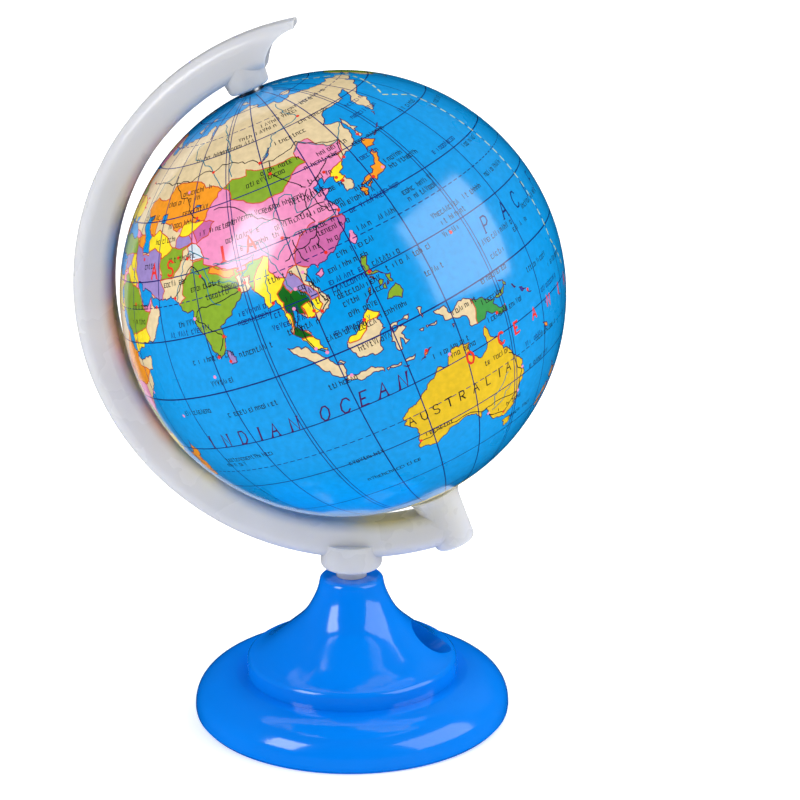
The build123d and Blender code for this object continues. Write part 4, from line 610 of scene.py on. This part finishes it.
PAINTS = {
    "sea": (0.0, 0.31, 0.76),
    "tan": (0.78, 0.62, 0.365),
    "pink": (0.86, 0.28, 0.52),
    "dusk": (0.60, 0.14, 0.38),
    "green": (0.24, 0.40, 0.025),
    "yellow": (0.96, 0.76, 0.02),
    "gold": (0.76, 0.50, 0.01),
    "orange": (0.93, 0.33, 0.015),
    "purple": (0.33, 0.24, 0.56),
    "deep": (0.005, 0.13, 0.01),
    "moss": (0.05, 0.32, 0.07),
    "white": (0.70, 0.76, 0.84),
    "blueberry": (0.02, 0.05, 0.35),
    "black": (0.012, 0.010, 0.016),
    "navy": (0.006, 0.016, 0.16),
    "plum": (0.06, 0.008, 0.10),
    "red": (0.80, 0.03, 0.015),
    "rust": (0.62, 0.07, 0.02),
    "teal": (0.02, 0.20, 0.28),
    "straw": (0.72, 0.72, 0.20),
}
PAINT_LIST = list(PAINTS)
SEA = PAINT_LIST.index("sea")


def fill_of(points):
    """The index in PAINT_LIST of what is printed at each point, before any line."""
    paint = np.zeros(len(points), int)
    open_to_regions = np.zeros(len(points), bool)
    for ring, colour, kind in shapes:
        if kind in ("mainland", "island"):
            hit = inside(ring, points)
            paint[hit] = PAINT_LIST.index(colour)
            open_to_regions[hit] = kind == "mainland"
    for ring, colour, kind in shapes:
        if kind == "region":
            hit = inside(ring, points) & open_to_regions
            paint[hit] = PAINT_LIST.index(colour)
            open_to_regions[hit] = False
    for ring, colour, kind in shapes:
        if kind == "lake":
            paint[inside(ring, points)] = SEA
    return paint


class Sheet:
    """Points and edges of a flat map, in degrees, ready to be cut into triangles."""

    def __init__(self):
        self.points, self.edges = [], []

    def line(self, points, ring=False):
        first = len(self.points)
        self.points += [(float(x), float(y)) for x, y in points]
        last = len(self.points) - 1
        self.edges += [(i, i + 1) for i in range(first, last)]
        if ring:
            self.edges.append((last, first))

    def cut(self):
        """The triangles' corners, and the points they index."""
        for k in range((EAST - WEST) // GORE_SPAN + 1):
            seam = WEST + k * GORE_SPAN
            self.line([(seam, y) for y in np.linspace(-MAP_TOP, MAP_TOP, SEAM_POINTS)])
        for edge in (-MAP_TOP, MAP_TOP):
            self.line([(x, edge) for x in range(WEST, EAST + 1, 5)])
        for i, x in enumerate(np.arange(WEST + GRID / 2, EAST, GRID)):
            for y in np.arange(-MAP_TOP + 1, MAP_TOP, GRID):
                self.points.append((x, y + (i % 2) * GRID / 2 - GRID / 4))
        points, _, faces, _, _, _ = delaunay_2d_cdt(
            [Vector(p) for p in self.points], self.edges, [], ALL_TRIANGLES, MERGE_WITHIN, False
        )
        points = np.array([tuple(p) for p in points])
        faces = np.array([f[:] for f in faces])
        middle = points[faces].mean(1)
        keep = (middle[:, 0] > WEST) & (middle[:, 0] < EAST) & (np.abs(middle[:, 1]) < MAP_TOP)
        return points, faces[keep], middle[keep]


def chains(pairs):
    """Joins edges, given as pairs of point numbers, into runs that are as long as can be."""
    ends = {}
    for a, b in pairs:
        ends.setdefault(a, []).append(b)
        ends.setdefault(b, []).append(a)
    left = {tuple(sorted(p)) for p in pairs}
    starts = sorted(p for p in ends if len(ends[p]) != 2) + sorted(ends)
    for start in starts:
        for ahead in ends[start]:
            if tuple(sorted((start, ahead))) not in left:
                continue
            run = [start, ahead]
            left.discard(tuple(sorted((start, ahead))))
            while len(ends[run[-1]]) == 2:
                onward = [n for n in ends[run[-1]] if tuple(sorted((run[-1], n))) in left]
                if not onward:
                    break
                left.discard(tuple(sorted((run[-1], onward[0]))))
                run.append(onward[0])
            yield run


outlines = Sheet()
for ring, _, _ in shapes:
    outlines.line(ring, ring=True)
flat_points, flat_faces, flat_middle = outlines.cut()
flat_paint = fill_of(flat_middle)
sides = {}
for face, paint in zip(flat_faces.tolist(), flat_paint.tolist()):
    for a, b in zip(face, face[1:] + face[:1]):
        sides.setdefault((min(a, b), max(a, b)), []).append(paint)
coast_pairs, border_pairs = [], []
for pair, paints in sides.items():
    if len(paints) == 2 and paints[0] != paints[1]:
        (coast_pairs if SEA in paints else border_pairs).append(pair)

print_sheet = Sheet()
ink = []  # (start, end, half width in degrees, paint), later ones printed over earlier ones


def draw(points, width, paint):
    """A line of ink along the points, width in millimetres."""
    half = width / 2 * MM
    left, right = [], []
    for i, (x, y) in enumerate(points):
        shrink = squeeze(y)
        normals = []
        for (xa, ya), (xb, yb) in zip(points[max(0, i - 1) : i + 1], points[max(1, i) : i + 2]):
            dx, dy = (xb - xa) * shrink, yb - ya
            length = math.hypot(dx, dy) or 1.0
            normals.append((-dy / length, dx / length))
        nx, ny = sum(n[0] for n in normals), sum(n[1] for n in normals)
        size = math.hypot(nx, ny) or 1.0
        nx, ny = nx / size, ny / size
        reach = half / max(0.6, abs(nx * normals[0][0] + ny * normals[0][1]))
        left.append((x + nx * reach / shrink, y + ny * reach))
        right.append((x - nx * reach / shrink, y - ny * reach))
    print_sheet.line(left)
    print_sheet.line(right)
    print_sheet.line([left[0], right[0]])
    print_sheet.line([left[-1], right[-1]])
    ink.extend((a, b, half, paint) for a, b in zip(points, points[1:]))


def dot(x, y, radius, paint):
    """A round spot, radius in millimetres."""
    reach = radius * MM
    shrink = squeeze(y)
    turns = [math.radians(22.5 + 45 * k) for k in range(8)]
    corners = [(x + reach * math.cos(t) / shrink, y + reach * math.sin(t)) for t in turns]
    print_sheet.line(corners, ring=True)
    ink.append(((x, y), (x, y), reach * 0.96, paint))


def along(a, b, step):
    """Evenly spaced points from a to b."""
    count = max(1, math.ceil(math.hypot(b[0] - a[0], b[1] - a[1]) / step))
    return [between(a, b, i / count) for i in range(count + 1)]


def dashes(a, b, length, gap, width, paint):
    """A broken line from a to b, dash and gap in millimetres."""
    total = math.hypot((b[0] - a[0]) * squeeze((a[1] + b[1]) / 2), b[1] - a[1])
    pitch = (length + gap) * MM
    for k in range(int(total / pitch)):
        start, end = k * pitch / total, (k * pitch + length * MM) / total
        draw([between(a, b, start), between(a, b, end)], width, paint)


# Widths of the printed lines, in millimetres
GRATICULE_LINE, EQUATOR_LINE, SEAM_LINE, TROPIC_LINE, DATE_LINE_WIDTH = 0.22, 0.27, 0.18, 0.18, 0.3
COAST_LINE, BORDER_LINE, RIVER_LINE = 0.18, 0.2, 0.19
SEAM_HALF_GAP = 0.32
LINE_TOP = 84  # the meridians stop here
LINE_STEP = 3
GRATICULE = 15
for lon in range(WEST, EAST, GRATICULE):
    if (lon - WEST) % GORE_SPAN == 0:
        for side, edge in ((1, lon), (-1, EAST if lon == WEST else lon)):
            line = []
            for lat in range(-LINE_TOP, LINE_TOP + 1, LINE_STEP):
                line.append((edge + side * SEAM_HALF_GAP * MM / squeeze(lat), float(lat)))
            draw(line, SEAM_LINE, "navy")
    else:
        draw(along((lon, -LINE_TOP), (lon, LINE_TOP), LINE_STEP), GRATICULE_LINE, "navy")
for lat in range(-75, 76, GRATICULE):
    width = EQUATOR_LINE if lat == 0 else GRATICULE_LINE
    for k in range(GORES):
        start = WEST + k * GORE_SPAN
        draw(along((start + 0.02, lat), (start + GORE_SPAN - 0.02, lat), LINE_STEP), width, "navy")
TROPIC, POLAR_CIRCLE = 23.44, 66.56
for lat in (-TROPIC, TROPIC, POLAR_CIRCLE):
    dashes((WEST, lat), (EAST, lat), 1.0, 0.55, TROPIC_LINE, "navy")
dashes((WEST, -POLAR_CIRCLE), (EAST, -POLAR_CIRCLE), 1.6, 1.2, DATE_LINE_WIDTH, "straw")
DATE_LINE = read("180,84 180,73 190.5,65.5 170.2,53 180,47.5 180,-4 187,-15 187,-42 180,-50 180,-84")
for a, b in zip(DATE_LINE, DATE_LINE[1:]):
    dashes(a, b, 1.2, 0.8, DATE_LINE_WIDTH, "straw")

for run in chains(coast_pairs):
    draw([tuple(flat_points[i]) for i in run], COAST_LINE, "plum")
for run in chains(border_pairs):
    draw([tuple(flat_points[i]) for i in run], BORDER_LINE, "rust")
for table, paint in ((RIVERS, "teal"), (RAILS, "black")):
    for _, points in rows(table):
        wavy = []
        for a, b in zip(points, points[1:]):
            wavy += rough(a, b, 1.6, 0.1)
        draw(wavy + points[-1:], RIVER_LINE, paint)

marks = random.Random(7)
MARKS = {
    "l": "0,0 0,1",
    "i": "0,0 0,.7",
    "v": "0,1 .5,0 1,1",
    "n": "0,0 0,.7 .9,.7 1,0",
    "o": "0,0 0,.7 1,.7 1,0 0,0",
    "c": "1,.7 0,.7 0,0 1,0",
    "h": "0,1 0,0|0,.6 1,.6 1,0",
    "t": ".4,1 .4,0 1,0|0,.7 .9,.7",
    "e": "1,0 0,0 0,.7 1,.7|0,.35 .8,.35",
    "a": "0,0 .5,1 1,0",
    "gap": "",
}
MARK_WIDE, MARK_TALL, MARK_PITCH, MARK_LINE = 0.42, 1.0, 0.7, 0.15
for name in SMALL_NAMES.split():
    x, y, length = (float(value) for value in name.split(",")[:3])
    paint = "navy" if name.endswith("sea") else "black"
    shrink = squeeze(y)
    for k in range(round(length * 1.25)):
        start = x + k * MARK_PITCH * MM / shrink
        for stretch in MARKS[marks.choice(list(MARKS))].split("|"):
            line = [(start + u * MARK_WIDE * MM / shrink, y + v * MARK_TALL * MM) for u, v in read(stretch)]
            if line:
                draw(line, MARK_LINE, paint)

LETTER_WIDE, SERIF_HALF = 0.62, 0.16  # in letter heights, and in letter widths
STRAIGHT_STROKE, SERIF_STROKE = 1.25, 0.6  # in strokes of a bent line


def letter(shape, place, base, tall, stroke, slant, serifs, paint):
    """One letter, standing at longitude place on latitude base."""

    def spot(u, v):
        return (place + (u * LETTER_WIDE + slant * v) * tall / squeeze(base), base + v * tall)

    for stretch in shape.split("|"):
        points = read(stretch)
        weight = STRAIGHT_STROKE if len(points) == 2 else 1
        draw([spot(u, v) for u, v in points], stroke / MM * weight, paint)
        for (u, v), (_, w) in ((points[0], points[1]), (points[-1], points[-2])):
            if serifs and v in (0, 1) and abs(w - v) > 0.5:
                draw([spot(u - SERIF_HALF, v), spot(u + SERIF_HALF, v)], stroke / MM * SERIF_STROKE, paint)


for text, paint, base, tall, stroke, slant, serifs, places in GREAT_NAMES:
    for sign, place in zip(text, places):
        letter(GLYPHS[sign], place, base, tall, stroke, slant, serifs, paint)

CITY_RADIUS = 0.34
for x, y in read(CITIES):
    dot(x, y, CITY_RADIUS, "red" if round(x * 10) % 3 else "pink")

points, faces, middle = print_sheet.cut()
paint = fill_of(middle)
CELL = 2  # degrees: triangles are looked up by the square of the map that they lie in
cells = {}
for i, (column, row) in enumerate((middle // CELL).astype(int).tolist()):
    cells.setdefault((column, row), []).append(i)
cells = {k: np.array(v) for k, v in cells.items()}
for (xa, ya), (xb, yb), half, colour in ink:
    shrink = squeeze((ya + yb) / 2)
    reach_x = half / shrink
    found = [
        cells[c]
        for c in (
            (i, j)
            for i in range(int((min(xa, xb) - reach_x) // CELL), int((max(xa, xb) + reach_x) // CELL) + 1)
            for j in range(int((min(ya, yb) - half) // CELL), int((max(ya, yb) + half) // CELL) + 1)
        )
        if c in cells
    ]
    if not found:
        continue
    near = np.concatenate(found)
    px, py = (middle[near, 0] - xa) * shrink, middle[near, 1] - ya
    dx, dy = (xb - xa) * shrink, yb - ya
    square = dx * dx + dy * dy
    t = np.clip((px * dx + py * dy) / square, 0, 1) if square > 0 else np.zeros(len(near))
    hit = np.hypot(px - t * dx, py - t * dy) < half * 1.02
    paint[near[hit]] = PAINT_LIST.index(colour)

# ---------------------------------------------------------------- materials


def principled(name):
    material = bpy.data.materials.new(name)
    material.use_nodes = True
    tree = material.node_tree
    return material, tree, tree.nodes["Principled BSDF"]


def add_node(tree, kind, **inputs):
    node = tree.nodes.new(kind)
    for key, value in inputs.items():
        node.inputs[key.replace("_", " ")].default_value = value
    return node


def mottled(tree, shader, socket, low, high, scale):
    """Drives a socket between two values by a soft noise in the object's own space."""
    place = tree.nodes.new("ShaderNodeTexCoord")
    noise = add_node(tree, "ShaderNodeTexNoise", Scale=scale, Detail=3.0)
    tree.links.new(place.outputs["Object"], noise.inputs["Vector"])
    ramp = tree.nodes.new("ShaderNodeValToRGB")
    ramp.color_ramp.elements[0].position = 0.3
    ramp.color_ramp.elements[1].position = 0.7
    ramp.color_ramp.elements[0].color = low
    ramp.color_ramp.elements[1].color = high
    tree.links.new(noise.outputs["Fac"], ramp.inputs["Fac"])
    tree.links.new(ramp.outputs["Color"], shader.inputs[socket])


def shade(colour, factor):
    return tuple(min(1.0, c * factor) for c in colour) + (1.0,)


def grey(value):
    return (value, value, value, 1.0)


def bump(tree, shader, scale, strength, distance):
    place = tree.nodes.new("ShaderNodeTexCoord")
    noise = add_node(tree, "ShaderNodeTexNoise", Scale=scale, Detail=2.0)
    tree.links.new(place.outputs["Object"], noise.inputs["Vector"])
    node = add_node(tree, "ShaderNodeBump", Strength=strength, Distance=distance)
    tree.links.new(noise.outputs["Fac"], node.inputs["Height"])
    tree.links.new(node.outputs["Normal"], shader.inputs["Normal"])


def print_material(name, colour):
    material, tree, shader = principled("print_" + name)
    mottled(tree, shader, "Base Color", shade(colour, 0.9), shade(colour, 1.06), 900.0)
    mottled(tree, shader, "Roughness", grey(0.26), grey(0.36), 60.0)
    bump(tree, shader, 420.0, 0.05, 0.0002)
    shader.inputs["Coat Weight"].default_value = 1.0
    shader.inputs["Coat Roughness"].default_value = 0.13
    shader.inputs["Coat IOR"].default_value = 1.65
    shader.inputs["Specular IOR Level"].default_value = 0.12
    return material


def plastic(name, colour, rough_low, rough_high, subsurface=0.0, radius=(0.0, 0.0, 0.0), coat=0.0):
    material, tree, shader = principled(name)
    mottled(tree, shader, "Base Color", shade(colour, 0.98), shade(colour, 1.015), 120.0)
    mottled(tree, shader, "Roughness", grey(rough_low), grey(rough_high), 90.0)
    bump(tree, shader, 260.0, 0.12, 0.0002)
    shader.inputs["Subsurface Weight"].default_value = subsurface
    shader.inputs["Subsurface Radius"].default_value = radius
    shader.inputs["Subsurface Scale"].default_value = 1.0
    shader.inputs["Coat Weight"].default_value = coat
    shader.inputs["Coat Roughness"].default_value = 0.06
    return material


def steel(name, colour, rough_low, rough_high):
    material, tree, shader = principled(name)
    mottled(tree, shader, "Base Color", shade(colour, 0.9), shade(colour, 1.05), 700.0)
    mottled(tree, shader, "Roughness", grey(rough_low), grey(rough_high), 1500.0)
    bump(tree, shader, 2500.0, 0.15, 0.00004)
    shader.inputs["Metallic"].default_value = 1.0
    return material


blue = plastic("glossy_blue", (0.0, 0.2, 0.82), 0.12, 0.18, 0.0, (0.0008, 0.002, 0.005), 0.55)
blue.node_tree.nodes["Principled BSDF"].inputs["Specular IOR Level"].default_value = 0.3
milky = plastic("milky_white", (0.60, 0.605, 0.63), 0.24, 0.32, 0.6, (0.004, 0.0045, 0.006), 0.15)
ball_white = plastic("ball_white", (0.75, 0.75, 0.72), 0.4, 0.5)
sharpener_plastic = plastic("sharpener_plastic", (0.05, 0.08, 0.35), 0.3, 0.42)
bush_white = plastic("bush_nylon", (0.8, 0.8, 0.78), 0.35, 0.5, 0.3, (0.001, 0.001, 0.001))
blade_steel = steel("ground_blade", (0.62, 0.63, 0.65), 0.16, 0.3)
screw_steel = steel("zinc_screw", (0.55, 0.56, 0.55), 0.25, 0.4)
pin_steel = steel("drawn_pin", (0.45, 0.46, 0.48), 0.25, 0.42)

FINISH = {
    "base_shell": blue,
    "shavings_lid": blue,
    "sharpener_body": sharpener_plastic,
    "sharpener_blade": blade_steel,
    "blade_screw": screw_steel,
    "arm": milky,
    "stub_washer": screw_steel,
    "stub_screw": screw_steel,
    "north_pin": pin_steel,
    "south_pin": pin_steel,
    "north_bush": bush_white,
    "south_bush": bush_white,
    "north_hemisphere": ball_white,
    "south_hemisphere": ball_white,
}
for node, material in FINISH.items():
    mesh = frame["nodes"][node].data
    mesh.materials.clear()
    mesh.materials.append(material)

# ---------------------------------------------------------------- the printed gores

print_materials = [print_material(name, colour) for name, colour in PAINTS.items()]
gore_of = np.clip(((middle[:, 0] - WEST) // GORE_SPAN).astype(int), 0, GORES - 1)
directions = on_globe(points[:, 0], points[:, 1])
cad_gore = {}
gore_fronts = on_globe(WEST + GORE_SPAN * (np.arange(GORES) + 0.5), np.zeros(GORES))
for n in range(1, GORES + 1):
    low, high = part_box(f"map_gore_{n}")
    toward = np.array((low + high) / 2) - GLOBE_CENTRE
    cad_gore[int(np.argmax(gore_fronts @ toward))] = n
for k in range(GORES):
    mine = np.flatnonzero(gore_of == k)
    used, local = np.unique(faces[mine], return_inverse=True)
    local = local.reshape(-1, 3)
    mesh = bpy.data.meshes.new(f"printed_gore_{k + 1}")
    mesh.from_pydata((GLOBE_CENTRE + directions[used] * GLOBE_RADIUS).tolist(), [], local.tolist())
    for material in print_materials:
        mesh.materials.append(material)
    mesh.polygons.foreach_set("material_index", paint[mine].astype(np.int32))
    mesh.polygons.foreach_set("use_smooth", np.ones(len(mine), bool))
    mesh.update()
    mesh.normals_split_custom_set_from_vertices(directions[used].tolist())
    gore = bpy.data.objects.new(f"printed_gore_{k + 1}", mesh)
    bpy.context.scene.collection.objects.link(gore)
    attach(gore, "globe")
    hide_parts(f"map_gore_{cad_gore[k]}")

# ---------------------------------------------------------------- floor, light and camera

FLOOR_HALF = 3
floor_mesh = bpy.data.meshes.new("floor")
floor_corners = [(FLOOR_HALF * x, FLOOR_HALF * y, 0) for x, y in ((-1, -1), (1, -1), (1, 1), (-1, 1))]
floor_mesh.from_pydata(floor_corners, [], [(0, 1, 2, 3)])
floor = bpy.data.objects.new("floor", floor_mesh)
bpy.context.scene.collection.objects.link(floor)
floor_material, floor_tree, floor_shader = principled("pale_floor")
mottled(floor_tree, floor_shader, "Base Color", grey(0.93), grey(0.95), 8.0)
floor_shader.inputs["Roughness"].default_value = 0.6
floor_shader.inputs["Emission Color"].default_value = grey(1.0)
floor_shader.inputs["Emission Strength"].default_value = 0.34
floor_mesh.materials.append(floor_material)
floor.visible_glossy = False


def softbox(name, place, aim, width, height, power, mirrored=True):
    light = bpy.data.lights.new(name, "AREA")
    light.shape = "RECTANGLE"
    light.size, light.size_y = width, height
    light.energy = power
    lamp = bpy.data.objects.new(name, light)
    lamp.location = place
    lamp.visible_camera = False
    lamp.visible_glossy = mirrored
    lamp.rotation_euler = (Vector(aim) - Vector(place)).to_track_quat("-Z", "Y").to_euler()
    bpy.context.scene.collection.objects.link(lamp)


AIM = (0, 0, 0.07)
softbox("softbox_right", (0.85, -0.22, 0.56), AIM, 0.95, 0.8, 5.8)
softbox("softbox_left", (-0.68, -0.58, 0.60), AIM, 0.42, 0.6, 5.4)
softbox("softbox_back", (0.42, 0.85, 0.62), AIM, 0.9, 0.5, 5.0, mirrored=False)

# A pale surround, brighter behind the globe than in front, that is not mirrored in the plastics
world = bpy.data.worlds.new("studio")
world.use_nodes = True
bpy.context.scene.world = world
world_tree = world.node_tree
background = world_tree.nodes["Background"]
direction = world_tree.nodes.new("ShaderNodeTexCoord")
split = world_tree.nodes.new("ShaderNodeSeparateXYZ")
world_tree.links.new(direction.outputs["Generated"], split.inputs["Vector"])
ramp = world_tree.nodes.new("ShaderNodeValToRGB")
ramp.color_ramp.elements[0].position = 0.0
ramp.color_ramp.elements[0].color = grey(0.05)
ramp.color_ramp.elements[1].position = 0.55
ramp.color_ramp.elements[1].color = grey(1.0)
shift = add_node(world_tree, "ShaderNodeMath")
shift.operation = "MULTIPLY_ADD"
shift.inputs[1].default_value = 0.5
shift.inputs[2].default_value = 0.5
world_tree.links.new(split.outputs["Y"], shift.inputs[0])
world_tree.links.new(shift.outputs["Value"], ramp.inputs["Fac"])
world_tree.links.new(ramp.outputs["Color"], background.inputs["Color"])
background.inputs["Strength"].default_value = 0.86
world.cycles_visibility.glossy = False

camera_data = bpy.data.cameras.new("camera")
camera_data.sensor_width = 36
camera_data.lens = 113.09
camera_data.clip_start = 0.01
camera = bpy.data.objects.new("camera", camera_data)
bpy.context.scene.collection.objects.link(camera)
# The place, heading and lens that the photograph's ball and grid of meridians were found to need
YAW, PITCH = math.radians(3.36), math.radians(18)
camera.location = (0.0367, -0.4613, 0.2151)
look = Vector((-math.sin(YAW) * math.cos(PITCH), math.cos(YAW) * math.cos(PITCH), -math.sin(PITCH)))
camera.rotation_euler = look.to_track_quat("-Z", "Y").to_euler()
bpy.context.scene.camera = camera
bpy.context.scene.view_settings.view_transform = "Standard"
